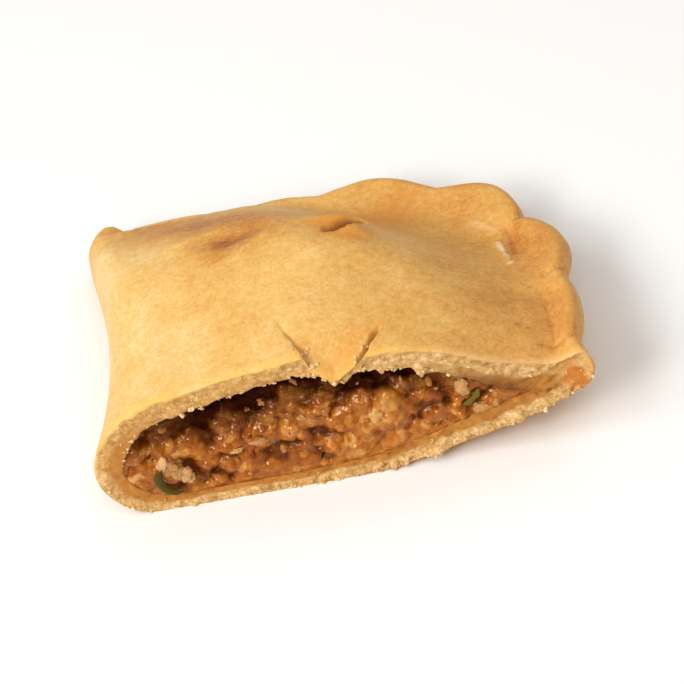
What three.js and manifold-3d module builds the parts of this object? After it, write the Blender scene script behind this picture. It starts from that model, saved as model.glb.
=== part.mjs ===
// Half of a baked turnover, as the knife left it: one sheet of dough folded over a moist filling.
// Millimetres, +Z up. The cut faces -Y, the fold is the -X side, and the two sealed, scalloped rims
// are the +Y and +X sides. The origin is under the middle of the whole, on the surface it lies on.

import * as THREE from 'three';
import { ParametricGeometry } from 'three/addons/geometries/ParametricGeometry.js';
import { mergeGeometries, mergeVertices } from 'three/addons/utils/BufferGeometryUtils.js';
import Module from 'manifold-3d';

const { clamp, lerp, smoothstep } = THREE.MathUtils;

// Plan, seen from above.
const CUT_START = new THREE.Vector2(-45.5, -35.8); // the knife crossed the fold here
const CUT_END = new THREE.Vector2(52.5, -28.5); // and the rim here
const FOLD_WAIST = new THREE.Vector2(-38, 5); // pulls the fold line inwards between its ends
const FOLD_EAR = new THREE.Vector2(-58.3, 33); // and this pulls it outwards into a small ear
const FOLD_TIP = new THREE.Vector2(-51, 38.3); // the fold meets the rim here
const RIM_CORNER = new THREE.Vector2(46.5, 43.5); // the two rims would meet here if not rounded off
const CORNER_REACH = 44; // the rounding takes this much of each rim
const CORNER_PULL = 0.52; // share of that reach which each handle of the rounding spans
const RIM_SPLIT = 0.6; // share of the rim that counts as the back, the rest being the right side
const LINE_STEPS = 240; // the fold and the rim are measured from this many points

// Scallops pressed into the rim: width along the rim and how far each lobe stands out, from the tip on.
const LOBES = [
  { width: 6.5, proud: 1.6 },
  { width: 22.7, proud: 1.6 },
  { width: 18, proud: 1.5 },
  { width: 25.8, proud: 2.6 },
  { width: 23.5, proud: 4.6 },
  { width: 24.5, proud: 2 },
  { width: 23.3, proud: 1.7 },
  { width: 23.5, proud: 2.2 },
];
const LOBE_FULLNESS = 0.8; // below 1 the lobes are rounder than a sine wave
const NOTCH_IN = 1.8; // the marks between the lobes reach in past the rim line
const NOTCH_DEEP = 1; // and are pressed into the top by this much
const NOTCH_HALF_WIDTH = 2.2;
const NOTCH_LENGTH = 8;
const SCALLOP_FADE = 9; // the scallops die out this far in from the rim
const SCALLOP_START = 11; // they reach their full size over this length from the tip

// Heights.
const CROWN = 33.5; // thickest place
const RIM_THICK = 8; // the two sealed layers together
const RIM_CURL = 2.2; // the rim curls up off the surface by this much
const CURL_WIDTH = 14;
const EDGE_ROUND = 2.6; // the rim's edge is rounded over this width
const EDGE_DROP = 2.2; // the top skin comes down by this much at the edge
const EDGE_RISE = 1.6; // and the underside comes up by this much
const EDGE_BULGE = 1.2; // the rounded edge stands out by this much half way up
const LIFT_START = 4; // right of this x the underside leaves the surface
const LIFT_EASE = 14; // over this distance the lift takes up its slope
const LIFT_SLOPE = 0.29;
const LIFT_FADE = 0.72; // share of the lift that is gone at the back
const LIFT_DEPTH = 66; // depth behind the cut over which it goes
const FOLD_MIDDLE = 11; // height of the fold's foremost line at the cut
const TIP_MIDDLE = 5; // and at the tip
const FOLD_ROUND_TOP = 14; // widths over which the fold rounds into the top and the underside
const FOLD_ROUND_UNDER = 11;
const TIP_ROUND = 4; // both are this narrow at the tip
const FOLD_DEPTH = 75;
const FOLD_SNAP = 0.01; // nearer than this to the fold line counts as on it

// The puffed part ends in a flange along each rim, and its back right corner is cut off by a flank.
// Pairs are for the left and the right part of the back, and BACK_BLEND has the x where they change over.
const FLANGE_BACK = [-1, 8];
const FLANGE_RIGHT = 4;
const RUN_BACK = [43, 36]; // the puff rises to its full height over this width
const RUN_RIGHT = 54;
const CREASE_ROUND = 0.1; // share of that width over which the crease at its foot is rounded
const SEAL_START = 2; // the puff starts this far in from the rim
const SEAL_WIDTH = [7, 9];
const BACK_BLEND = [-18, 5];
const FLANK_START = new THREE.Vector2(9, 18);
const FLANK_END = new THREE.Vector2(48, -22);
const FLANK_TOE = 18; // the flank reaches the flange this far outside its line
const FLANK_RUN = 32;
const SLUMP_START = 8; // left of this x the top slumps towards the fold
const SLUMP_WIDTH = 47;
const SLUMP_BEND = 1.5;
const SLUMP = 0.27; // share of the height lost at the fold

// Soft bumps and hollows in the top skin.
const SWELLS = [
  { x: 5.5, y: 3.2, wide: 5, deep: 2, rise: 0.9 }, // front lip of the back vent
  { x: 4.5, y: 9.6, wide: 6, deep: 2.8, rise: 1.2 }, // its back lip
  { x: -13, y: 8.5, wide: 8, deep: 5, rise: -1.8 }, // dimple beside it
  { x: -49.5, y: 36, wide: 4.5, deep: 5, rise: 1.2 }, // ear at the tip
  { x: 36, y: -29, wide: 9, deep: 9, rise: -1.8 }, // dip before the end of the cut
];
const SWELL_FALL = 1.5; // how steeply they fall off

// Vents, cut through the top while the dough was raw. The knife crossed the front one, and left a tongue.
const VENTS = [
  { from: [1.2, -34], to: [-6.5, -19.4], width: 0.9 },
  { from: [9.2, -34], to: [14.2, -23.1], width: 1.2 },
  { from: [1.2, 5.2], to: [9.6, 8.2], width: 1.8 },
];
const VENT_ABOVE = 8; // the cuts start this far above the skin
const VENT_BELOW = 6; // and go this far below it
const TONGUE_X = 4.8;
const TONGUE_HALF_WIDTH = 4.4;
const TONGUE_REACH = 1.8; // it stands out of the cut by this much
const TONGUE_DROOP = 2.6; // and hangs down by this much
const TONGUE_THINNED = 2.2; // its skin hangs down farther, so it is thinner than the rest
const TONGUE_LENGTH = 8;

// Pocket inside the dough, as shares of the plan's width and depth.
const POCKET_LEFT = 0.056;
const POCKET_RIGHT = 0.888;
const POCKET_BACK = 0.83;
const POCKET_TAPER = 0.33; // the right side comes in by this much at the back
const POCKET_OVERRUN = 4; // the cutting solid reaches this far out of the cut
const DOUGH_TOP = 4.4; // thickness of the upper layer over most of the pocket
const DOUGH_GAIN = 2.2; // it is thicker by this much at the right
const DOUGH_GAIN_WIDTH = 42;
const DOUGH_LEFT = 1.3; // and by this much at the left
const DOUGH_LEFT_START = -8;
const DOUGH_LEFT_WIDTH = 25;
const DOUGH_UNDER = 3.6;
const POCKET_ROUND_LEFT = 9;
const POCKET_ROUND_RIGHT = 22;
const POCKET_ROUND_BACK = 14;
const LEAST_SPACE = 1; // roof and floor stay this far apart where the dough leaves less

// Filling, which runs through the pocket and has shrunk back from the cut.
const CLEARANCE = 0.5; // to the dough above and below
const SIDE_CLEARANCE = 1.6; // to the rounded edge of the pocket
const RECESS = 2.2; // its front lies this far behind the cut at the bottom
const LEAN = 5; // and this much farther at the top
const FRONT_FADE = 0.35; // share of the depth over which the front's shape dies out
const SHRINK_GAP = 2.8; // gap under the upper layer at the front
const MOST_GAP = 0.4; // share of the pocket's height that the gap may take
const LUMP_SPACING = 7.5; // pieces of mince that show at the front
const LUMP_RADIUS = 5.5;
const LUMP_RELIEF = 1.9; // they stand out by this much
const LUMP_END = 45; // and thin out over this width at the right
const MOUTH_HEIGHT = 26; // height over which they are spread
const LUMP_JITTER = 2.5;
const LUMP_SEED = 7;

// Facets.
const SHELL_GRID = [42, 28];
const WALL_ROWS = 3;
const POCKET_GRID = [28, 15];
const FILLING_GRID = [44, 15];
const FRONT_ROWS = 8;
const EDGE_CROWDING = 0.6; // rows of facets draw together towards the edges of the sheet

const WELD_DISTANCE = 1e-4;

const CRUST_COLOUR = 0xe3ae62;
const CRUST_ROUGHNESS = 0.6;
const FILLING_COLOUR = 0x935426;
const FILLING_ROUGHNESS = 0.35;

// A quarter circle that rises from 0 to 1.
const quarter = (t) => Math.sqrt(1 - (1 - clamp(t, 0, 1)) ** 2);
const sineRise = (t) => Math.sin((Math.PI / 2) * clamp(t, 0, 1));
const crowd = (t) => t - (EDGE_CROWDING * Math.sin(2 * Math.PI * t)) / (2 * Math.PI);

// Lines of the plan.
const knife = new THREE.LineCurve(CUT_START, CUT_END);
const fold = new THREE.CubicBezierCurve(CUT_START, FOLD_WAIST, FOLD_EAR, FOLD_TIP);
const rim = rimLine();
const foldPoints = fold.getSpacedPoints(LINE_STEPS);
const rimPoints = rim.getSpacedPoints(LINE_STEPS);
const rimLength = rim.getLength();
const planWidth = CUT_START.distanceTo(CUT_END);
const planDepth = FOLD_TIP.y - CUT_START.y;

function rimLine() {
  const leave = FOLD_TIP.clone().sub(RIM_CORNER).setLength(CORNER_REACH).add(RIM_CORNER);
  const enter = CUT_END.clone().sub(RIM_CORNER).setLength(CORNER_REACH).add(RIM_CORNER);
  const first = leave.clone().lerp(RIM_CORNER, CORNER_PULL);
  const second = enter.clone().lerp(RIM_CORNER, CORNER_PULL);
  const path = new THREE.Path();
  path.moveTo(FOLD_TIP.x, FOLD_TIP.y);
  path.lineTo(leave.x, leave.y);
  path.bezierCurveTo(first.x, first.y, second.x, second.y, enter.x, enter.y);
  path.lineTo(CUT_END.x, CUT_END.y);
  return path;
}

// Nearest place on a line of points: how far off it is, what share of the line lies before it,
// and which way is outwards, to the left of the line's direction.
function nearest(points, x, y) {
  let best = { distance: Infinity };
  for (let i = 0; i + 1 < points.length; i += 1) {
    const a = points[i];
    const b = points[i + 1];
    const dx = b.x - a.x;
    const dy = b.y - a.y;
    const length = Math.hypot(dx, dy);
    const t = clamp(((x - a.x) * dx + (y - a.y) * dy) / (length * length), 0, 1);
    const distance = Math.hypot(x - a.x - t * dx, y - a.y - t * dy);
    if (distance < best.distance) {
      best = { distance, share: (i + t) / (points.length - 1), outX: -dy / length, outY: dx / length };
    }
  }
  return best;
}

const knifeY = (x) => lerp(CUT_START.y, CUT_END.y, (x - CUT_START.x) / (CUT_END.x - CUT_START.x));

// Place in the plan: u runs from the fold to the right rim, v from the cut to the back rim.
// The four border lines are blended, so that each is met exactly at its side.
function plan(u, v) {
  const front = knife.getPoint(u);
  const back = rim.getPoint(u * RIM_SPLIT);
  const left = fold.getPointAt(v);
  const right = rim.getPoint(lerp(1, RIM_SPLIT, v));
  const corner = rim.getPoint(RIM_SPLIT);
  const blend = (axis) =>
    lerp(front[axis], back[axis], v) + lerp(left[axis], right[axis], u) -
    lerp(lerp(CUT_START[axis], CUT_END[axis], u), lerp(FOLD_TIP[axis], corner[axis], u), v);
  return new THREE.Vector2(blend('x'), blend('y'));
}

// Lobe that a place along the rim belongs to, with its phase from 0 to 1 and the way to the next mark.
function lobeAt(along) {
  let start = 0;
  for (const lobe of LOBES) {
    if (along <= start + lobe.width) {
      const phase = (along - start) / lobe.width;
      return { proud: lobe.proud, phase, toNotch: Math.min(phase, 1 - phase) * lobe.width };
    }
    start += lobe.width;
  }
  return { proud: 0, phase: 0, toNotch: 0 };
}

// How far the puffed part rises at a place, from 0 at the flange to 1 at the crown.
function puff(x, y, toRim) {
  const rightX = lerp(CUT_END.x, RIM_CORNER.x, (y - CUT_END.y) / (RIM_CORNER.y - CUT_END.y));
  const backY = lerp(FOLD_TIP.y, RIM_CORNER.y, (x - FOLD_TIP.x) / (RIM_CORNER.x - FOLD_TIP.x));
  const flank = FLANK_END.clone().sub(FLANK_START).normalize();
  const toFlank = (FLANK_START.x - x) * -flank.y + (FLANK_START.y - y) * flank.x;
  const slump = 1 - SLUMP * Math.max(0, (SLUMP_START - x) / SLUMP_WIDTH) ** SLUMP_BEND;
  const blend = smoothstep(x, ...BACK_BLEND);
  const fromBack = (backY - y - lerp(...FLANGE_BACK, blend)) / lerp(...RUN_BACK, blend);
  const eased = (fromBack + Math.hypot(fromBack, CREASE_ROUND)) / 2;
  return sineRise((rightX - x - FLANGE_RIGHT) / RUN_RIGHT) *
    sineRise(eased) *
    sineRise((toFlank + FLANK_TOE) / FLANK_RUN) *
    smoothstep(toRim, SEAL_START, SEAL_START + lerp(...SEAL_WIDTH, blend)) * slump;
}

function swell(x, y) {
  let rise = 0;
  for (const spot of SWELLS) {
    const reach = ((x - spot.x) / spot.wide) ** 2 + ((y - spot.y) / spot.deep) ** 2;
    rise += spot.rise * Math.exp(-SWELL_FALL * reach);
  }
  return rise;
}

// The tongue of the front vent, 1 at its tip and 0 outside it.
function tongue(x, behindCut) {
  const across = Math.max(0, 1 - Math.abs(x - TONGUE_X) / TONGUE_HALF_WIDTH);
  return across * (1 - smoothstep(behindCut, 0, TONGUE_LENGTH));
}

// Heights of the underside and of the top skin over a place of the plan.
function heights(x, y) {
  const behindCut = Math.max(0, y - knifeY(x));
  const placeY = knifeY(x) + behindCut;
  const edge = nearest(rimPoints, x, placeY);
  const toFold = Math.max(0, nearest(foldPoints, x, placeY).distance - FOLD_SNAP);
  const past = Math.max(0, x - LIFT_START);
  const eased = past < LIFT_EASE ? past ** 2 / (2 * LIFT_EASE) : past - LIFT_EASE / 2;
  const lift = LIFT_SLOPE * eased * (1 - LIFT_FADE * smoothstep(behindCut, 0, LIFT_DEPTH));
  const base = lift + RIM_CURL * (1 - smoothstep(edge.distance, 0, CURL_WIDTH));
  const rounding = 1 - quarter(edge.distance / EDGE_ROUND);
  const notch = Math.max(0, 1 - lobeAt(edge.share * rimLength).toNotch / NOTCH_HALF_WIDTH);
  const pressed = NOTCH_DEEP * notch * (1 - smoothstep(edge.distance, 0, NOTCH_LENGTH));
  const thick = lerp(RIM_THICK, CROWN, puff(x, placeY, edge.distance)) + swell(x, placeY);
  const towardsTip = smoothstep(behindCut, 0, FOLD_DEPTH);
  const middle = lerp(FOLD_MIDDLE, TIP_MIDDLE, towardsTip);
  const top = base + thick - EDGE_DROP * rounding - pressed - TONGUE_DROOP * tongue(x, behindCut);
  const under = base + EDGE_RISE * rounding;
  return {
    high: lerp(middle, top, quarter(toFold / lerp(FOLD_ROUND_TOP, TIP_ROUND, towardsTip))),
    low: lerp(middle, under, quarter(toFold / lerp(FOLD_ROUND_UNDER, TIP_ROUND, towardsTip))),
    behindCut,
    edge,
  };
}

// Outer surface: k runs from 0 on the underside to 1 on the top skin.
function shellPoint(u, v, k, target) {
  const place = plan(u, v);
  const { high, low, behindCut, edge } = heights(place.x, place.y);
  const lobe = lobeAt(edge.share * rimLength);
  const wave = lobe.proud * Math.sin(Math.PI * lobe.phase) ** LOBE_FULLNESS - NOTCH_IN;
  const ease = smoothstep(edge.share * rimLength, 0, SCALLOP_START);
  const scallop = wave * ease * (1 - smoothstep(edge.distance, 0, SCALLOP_FADE));
  const nearRim = 1 - smoothstep(edge.distance, 0, EDGE_ROUND);
  const bulge = EDGE_BULGE * 4 * k * (1 - k) * nearRim * clamp((high - low) / RIM_THICK, 0, 1);
  const hanging = k * tongue(place.x, behindCut);
  target.x = place.x + edge.outX * (scallop + bulge);
  target.y = place.y + edge.outY * (scallop + bulge) - TONGUE_REACH * hanging;
  target.z = lerp(low, high, k) - TONGUE_THINNED * hanging;
}

// Space inside the dough: a runs from its left to its right, b from the cut to its back, and k from
// the floor to the roof, which meet in a rounded edge all round, except at the cut.
function insidePoint(a, b, k, fit, target) {
  const left = POCKET_LEFT + fit.side / planWidth;
  const back = POCKET_BACK - fit.side / planDepth;
  const depth = back * planDepth;
  const rightAt = (share) => POCKET_RIGHT - POCKET_TAPER * share - fit.side / planWidth;
  const levelAt = (share) => {
    const width = (rightAt(share) - left) * planWidth;
    const open = quarter((a * width) / POCKET_ROUND_LEFT) *
      quarter(((1 - a) * width) / POCKET_ROUND_RIGHT) *
      quarter(((1 - share) * depth) / POCKET_ROUND_BACK);
    return 0.5 + (k - 0.5) * open;
  };
  const share = b + fit.shift(a * planWidth, b, levelAt(b)) / depth;
  const within = Math.max(0, share);
  const place = plan(lerp(left, rightAt(within), a), back * within);
  place.y += (share - within) * depth;
  const { high, low } = heights(place.x, place.y);
  const dough = DOUGH_TOP + DOUGH_GAIN * smoothstep(place.x, 0, DOUGH_GAIN_WIDTH) +
    DOUGH_LEFT * smoothstep(DOUGH_LEFT_START - place.x, 0, DOUGH_LEFT_WIDTH);
  const floor = low + DOUGH_UNDER + fit.inset;
  const roof = Math.max(floor + LEAST_SPACE, high - dough - fit.inset);
  const level = levelAt(within);
  const gap = Math.min(fit.gap(b), MOST_GAP * (roof - floor)) * Math.max(0, 2 * level - 1);
  target.set(place.x, place.y, lerp(floor, roof, level) - gap);
}

// The pocket runs out past the cut, so that it cuts the dough cleanly.
const pocketFit = {
  inset: 0,
  side: 0,
  gap: () => 0,
  shift: (x, b) => -POCKET_OVERRUN * Math.max(0, 1 - b * POCKET_GRID[1]),
};

// The filling keeps clear of the pocket, and its front leans back and is lumpy.
const frontShare = (b) => 1 - smoothstep(b, 0, FRONT_FADE);
const lumps = scatterLumps();
const fillingFit = {
  inset: CLEARANCE,
  side: SIDE_CLEARANCE,
  gap: (b) => SHRINK_GAP * frontShare(b),
  shift: (x, b, k) => (RECESS + LEAN * k - relief(x, k * MOUTH_HEIGHT)) * frontShare(b),
};

// Lumps on a grid over the front, each moved a little at random.
function scatterLumps() {
  THREE.MathUtils.seededRandom(LUMP_SEED);
  const jitter = () => LUMP_JITTER * (THREE.MathUtils.seededRandom() - 0.5) * 2;
  const spots = [];
  for (let x = 0; x < planWidth; x += LUMP_SPACING) {
    for (let z = 0; z < MOUTH_HEIGHT; z += LUMP_SPACING) {
      spots.push(new THREE.Vector2(x + jitter(), z + jitter()));
    }
  }
  return spots;
}

// Domes over the lumps: the tallest one counts.
function relief(x, z) {
  const place = new THREE.Vector2(x, z);
  const gap = Math.min(...lumps.map((lump) => lump.distanceTo(place)));
  const thinning = smoothstep(planWidth - x, 0, LUMP_END);
  return LUMP_RELIEF * thinning * Math.sqrt(Math.max(0, 1 - (gap / LUMP_RADIUS) ** 2));
}

// One closed mesh from patches that share their border points. Facets that have shrunk to a line go.
function weld(patches) {
  const joined = mergeGeometries(patches);
  joined.deleteAttribute('normal');
  joined.deleteAttribute('uv');
  const welded = mergeVertices(joined, WELD_DISTANCE);
  const corners = welded.index.array;
  const kept = [];
  for (let i = 0; i < corners.length; i += 3) {
    const [a, b, c] = corners.slice(i, i + 3);
    if (a !== b && b !== c && c !== a) {
      kept.push(a, b, c);
    }
  }
  welded.setIndex(kept);
  return welded;
}

// Patches of a body that is given by a point function of three shares: top, underside, then its walls.
function closedBody(point, [across, deep], rows, ease, walls) {
  const patches = [
    new ParametricGeometry((s, t, target) => point(ease(s), ease(t), 1, target), across, deep),
    new ParametricGeometry((s, t, target) => point(ease(1 - s), ease(t), 0, target), across, deep),
    new ParametricGeometry((s, t, target) => point(ease(s), 0, t, target), across, rows),
  ];
  if (walls) {
    patches.push(new ParametricGeometry((s, t, target) => point(ease(1 - s), 1, t, target), across, rows));
    patches.push(new ParametricGeometry((s, t, target) => point(1, ease(s), t, target), deep, rows));
  }
  return weld(patches);
}

const solids = await Module();
solids.setup();

function toSolid(geometry) {
  const vertProperties = new Float32Array(geometry.attributes.position.array);
  const triVerts = new Uint32Array(geometry.index.array);
  return new solids.Manifold(new solids.Mesh({ numProp: 3, vertProperties, triVerts }));
}

function toGeometry(solid) {
  const mesh = solid.getMesh();
  const geometry = new THREE.BufferGeometry();
  geometry.setAttribute('position', new THREE.BufferAttribute(mesh.vertProperties, mesh.numProp));
  geometry.setIndex(new THREE.BufferAttribute(mesh.triVerts, 1));
  geometry.computeVertexNormals();
  return geometry;
}

// A slit through the upper layer, widest in the middle of its length.
function ventCut({ from, to, width }) {
  const start = new THREE.Vector2(...from);
  const end = new THREE.Vector2(...to);
  const half = end.clone().sub(start).rotateAround(new THREE.Vector2(), Math.PI / 2).setLength(width / 2);
  const middle = start.clone().lerp(end, 0.5);
  const outline = new THREE.Shape([start, middle.clone().sub(half), end, middle.clone().add(half)]);
  const skin = heights(middle.x, middle.y).high;
  const slit = new THREE.ExtrudeGeometry(outline, { depth: VENT_ABOVE + VENT_BELOW, bevelEnabled: false });
  slit.translate(0, 0, skin - VENT_BELOW);
  return toSolid(weld([slit]));
}

function crustGeometry() {
  const shell = closedBody(shellPoint, SHELL_GRID, WALL_ROWS, crowd, true);
  const inside = (a, b, k, target) => insidePoint(a, b, k, pocketFit, target);
  const pocket = closedBody(inside, POCKET_GRID, 1, (t) => t, false);
  let crust = toSolid(shell).subtract(toSolid(pocket));
  for (const vent of VENTS) {
    crust = crust.subtract(ventCut(vent));
  }
  return toGeometry(crust);
}

function fillingGeometry() {
  const inside = (a, b, k, target) => insidePoint(a, b, k, fillingFit, target);
  const geometry = closedBody(inside, FILLING_GRID, FRONT_ROWS, (t) => t, false);
  geometry.computeVertexNormals();
  return geometry;
}

function subPart(name, geometry, color, roughness) {
  const mesh = new THREE.Mesh(geometry, new THREE.MeshStandardMaterial({ color, roughness, metalness: 0 }));
  mesh.name = name;
  return mesh;
}

const turnoverHalf = new THREE.Group();
turnoverHalf.add(subPart('crust', crustGeometry(), CRUST_COLOUR, CRUST_ROUGHNESS));
turnoverHalf.add(subPart('filling', fillingGeometry(), FILLING_COLOUR, FILLING_ROUGHNESS));

// The origin goes under the middle of the whole.
const box = new THREE.Box3().setFromObject(turnoverHalf);
turnoverHalf.position.set(-(box.min.x + box.max.x) / 2, -(box.min.y + box.max.y) / 2, -box.min.z);
turnoverHalf.updateMatrixWorld(true);

export default turnoverHalf;
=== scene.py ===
import itertools
import math

import bpy
import numpy as np
from mathutils import Matrix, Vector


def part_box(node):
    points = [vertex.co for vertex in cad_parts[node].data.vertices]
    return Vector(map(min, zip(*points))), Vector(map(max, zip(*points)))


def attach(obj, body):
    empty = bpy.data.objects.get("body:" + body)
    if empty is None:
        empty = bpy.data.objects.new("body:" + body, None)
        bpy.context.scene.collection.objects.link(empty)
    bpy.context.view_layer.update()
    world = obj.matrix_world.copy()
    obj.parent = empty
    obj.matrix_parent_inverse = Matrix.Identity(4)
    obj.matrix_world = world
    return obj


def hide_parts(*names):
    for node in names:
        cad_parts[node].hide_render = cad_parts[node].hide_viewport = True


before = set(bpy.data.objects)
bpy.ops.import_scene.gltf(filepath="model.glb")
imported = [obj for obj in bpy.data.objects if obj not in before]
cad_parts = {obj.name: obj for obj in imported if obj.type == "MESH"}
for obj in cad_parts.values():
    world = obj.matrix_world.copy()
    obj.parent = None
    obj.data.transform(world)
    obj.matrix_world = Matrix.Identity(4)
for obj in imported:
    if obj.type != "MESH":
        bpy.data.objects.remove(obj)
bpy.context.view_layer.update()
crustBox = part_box("crust")
print("frame loaded:", ", ".join(sorted(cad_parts)))

mm = 0.001  # shapes are worked out in millimetres and put into the mesh in metres

# where each noise starts, so that no two are alike
noiseSeeds = {
    "skin": 11, "crumb": 31, "ragged": 51, "lip": 61, "strip": 71, "base": 81, "knob": 85, "slit": 91,
    "paleEdge": 93, "palePatchy": 95, "glow": 97, "grains": 101, "ripples": 141,
}


# Tools for shapes

# rises from 0 to 1 with level ends
def softStep(t):
    t = np.clip(t, 0, 1)
    return t * t * (3 - 2 * t)


# soft step that starts at a value and takes a width
def rise(t, start, width):
    return softStep((t - start) / width)


# quarter circle that rises from 0 to 1, steep at the start
def quarterArc(t):
    return np.sqrt(1 - (1 - np.clip(t, 0, 1)) ** 2)


# quarter of a sine wave from 0 to 1
def sineRise(t):
    return np.sin(math.pi / 2 * np.clip(t, 0, 1))


# from a to b by the share t
def mix(a, b, t):
    return a + (b - a) * t


# numbers that scramble the indices of a cell
scramble = {
    "index": (374761393, 668265263, 1440662683),
    "seed": 974634421,
    "rounds": ((13, 1274126177), (16, 668265263)),  # shift and factor
    "lastShift": 15,
    "mask": 0xffffffff,  # 32 bits are kept
    "drawMask": 0xffff,  # and 16 of them make the draw
}


# number between 0 and 1 that belongs to one cell of a lattice, from a scramble of its three indices
def cellDraw(cell, seed):
    s = scramble
    bits = sum(cell[..., n] * factor for n, factor in enumerate(s["index"]))
    bits = (bits + seed * s["seed"]) & s["mask"]
    for shift, factor in s["rounds"]:
        bits = ((bits ^ (bits >> shift)) * factor) & s["mask"]
    return ((bits ^ (bits >> s["lastShift"])) & s["drawMask"]) / s["drawMask"]


# smooth noise from -1 to 1: the draws at the corners of a cell, blended by soft steps
def softNoise(points, size, seed):
    place = points / size
    cell = np.floor(place).astype(np.int64)
    t = softStep(place - cell)
    total = np.zeros(points.shape[:-1])
    for corner in np.ndindex(2, 2, 2):
        weight = np.prod(np.where(np.array(corner) == 1, t, 1 - t), axis=-1)
        total += weight * cellDraw(cell + np.array(corner), seed)
    return 2 * total - 1


# several sizes of noise added up, each given as size and height
def layeredNoise(points, layers, seed):
    return sum(height * softNoise(points, size, seed + n) for n, (size, height) in enumerate(layers))


# packed grains: domes from 0 to 1 round one shifted point in each cell, and the draw of the nearest one.
# The reach of a dome is a share of the cell
def grainDomes(points, size, seed, reach=0.8):
    place = points / size
    cell = np.floor(place).astype(np.int64)
    nearest = np.full(points.shape[:-1], np.inf)
    draw = np.zeros(points.shape[:-1])
    for step in np.ndindex(3, 3, 3):
        other = cell + np.array(step) - 1
        shift = np.stack([cellDraw(other, seed + n) for n in range(3)], axis=-1)
        gap = np.linalg.norm(place - other - shift, axis=-1)
        closer = gap < nearest
        nearest = np.where(closer, gap, nearest)
        draw = np.where(closer, cellDraw(other, seed + 3), draw)
    return np.sqrt(np.clip(1 - (nearest / reach) ** 2, 0, 1)), draw


densitySteps = 2001


# samples from 0 to 1 that crowd where a zone (middle, half width, strength) asks for it: the running total
# of the density, read backwards
def crowdedSamples(count, zones):
    t = np.linspace(0, 1, densitySteps)
    density = np.ones_like(t)
    for middle, halfWidth, strength in zones:
        density += strength * (1 - rise(np.abs(t - middle), halfWidth / 2, halfWidth))
    total = np.concatenate([[0], np.cumsum((density[1:] + density[:-1]) / 2)])
    samples = np.interp(np.linspace(0, total[-1], count), total, t)
    samples[0], samples[-1] = 0, 1
    return samples


# points on a cubic curve between two ends, with two pulls
def curvePoints(start, pull, otherPull, end, count):
    t = np.linspace(0, 1, count)[:, None]
    rest = 1 - t
    return rest ** 3 * start + 3 * t * rest ** 2 * pull + 3 * t ** 2 * rest * otherPull + t ** 3 * end


# length along a line of points up to each of them
def lengthsAlong(line):
    return np.concatenate([[0], np.cumsum(np.linalg.norm(np.diff(line, axis=0), axis=1))])


# distance to a straight stretch, and how far along it the nearest place is, from 0 to 1
def stretchDistance(x, y, start, end):
    dx, dy = end[0] - start[0], end[1] - start[1]
    t = np.clip(((x - start[0]) * dx + (y - start[1]) * dy) / (dx * dx + dy * dy), 0, 1)
    return np.hypot(x - start[0] - t * dx, y - start[1] - t * dy), t


# nearest place on a line of points: distance, length along the line and the direction to its left
def nearestOnLine(x, y, line):
    best = np.full(x.shape, np.inf)
    along, outX, outY = np.zeros((3, *x.shape))
    start = 0.0
    for a, b in zip(line[:-1], line[1:]):
        dx, dy = b - a
        length = math.hypot(dx, dy)
        gap, t = stretchDistance(x, y, a, b)
        closer = gap < best
        best = np.where(closer, gap, best)
        along = np.where(closer, start + t * length, along)
        outX = np.where(closer, -dy / length, outX)
        outY = np.where(closer, dx / length, outY)
        start += length
    return best, along, outX, outY


weldSteps = 2000  # in a millimetre: points in the same step are one


# one mesh from grids of points that share their borders: equal points become one vertex, and a
# four-sided face that has lost a corner becomes a triangle
def weldGrids(grids, attributes):
    points = np.concatenate([grid.reshape(-1, 3) for grid in grids])
    keys = np.round(points * weldSteps).astype(np.int64)
    first, vertexOf = np.unique(keys, axis=0, return_index=True, return_inverse=True)[1:]
    vertexOf = vertexOf.reshape(-1)
    faces = []
    offset = 0
    for grid in grids:
        rows, columns = grid.shape[:2]
        index = vertexOf[offset:offset + rows * columns].reshape(rows, columns)
        corners = [index[:-1, :-1], index[1:, :-1], index[1:, 1:], index[:-1, 1:]]
        faces.append(np.stack(corners, axis=-1).reshape(-1, 4))
        offset += rows * columns
    faces = np.concatenate(faces)
    same = faces == np.roll(faces, 1, axis=1)
    whole = faces[~same.any(axis=1)]
    threeLeft = same.sum(axis=1) == 1
    triangles = faces[threeLeft][~same[threeLeft]].reshape(-1, 3)
    values = {}
    for name, parts in attributes.items():
        values[name] = np.concatenate([part.reshape(-1) for part in parts])[first]
    return points[first], whole.tolist() + triangles.tolist(), values


# mesh object at the origin, with its place in its vertices, its looks in attributes and a ride on the body
def addPiece(name, points, faces, material, attributes):
    mesh = bpy.data.meshes.new(name)
    mesh.from_pydata((points * mm).tolist(), [], faces)
    mesh.polygons.foreach_set("use_smooth", np.ones(len(mesh.polygons), bool))
    for attributeName, values in attributes.items():
        layer = mesh.attributes.new(attributeName, "FLOAT", "POINT")
        layer.data.foreach_set("value", np.ascontiguousarray(values, np.float32))
    mesh.materials.append(material)
    mesh.validate()
    piece = bpy.data.objects.new(name, mesh)
    bpy.context.scene.collection.objects.link(piece)
    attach(piece, "root")
    print(name, len(mesh.vertices), "vertices", len(mesh.polygons), "faces")
    return piece


# Tools for materials

# sRGB hex to linear colour
def colour(code):
    channels = [int(code[n:n + 2], 16) / 255 for n in (0, 2, 4)]
    linear = [c / 12.92 if c <= 0.04045 else ((c + 0.055) / 1.055) ** 2.4 for c in channels]
    return (*linear, 1)


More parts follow.
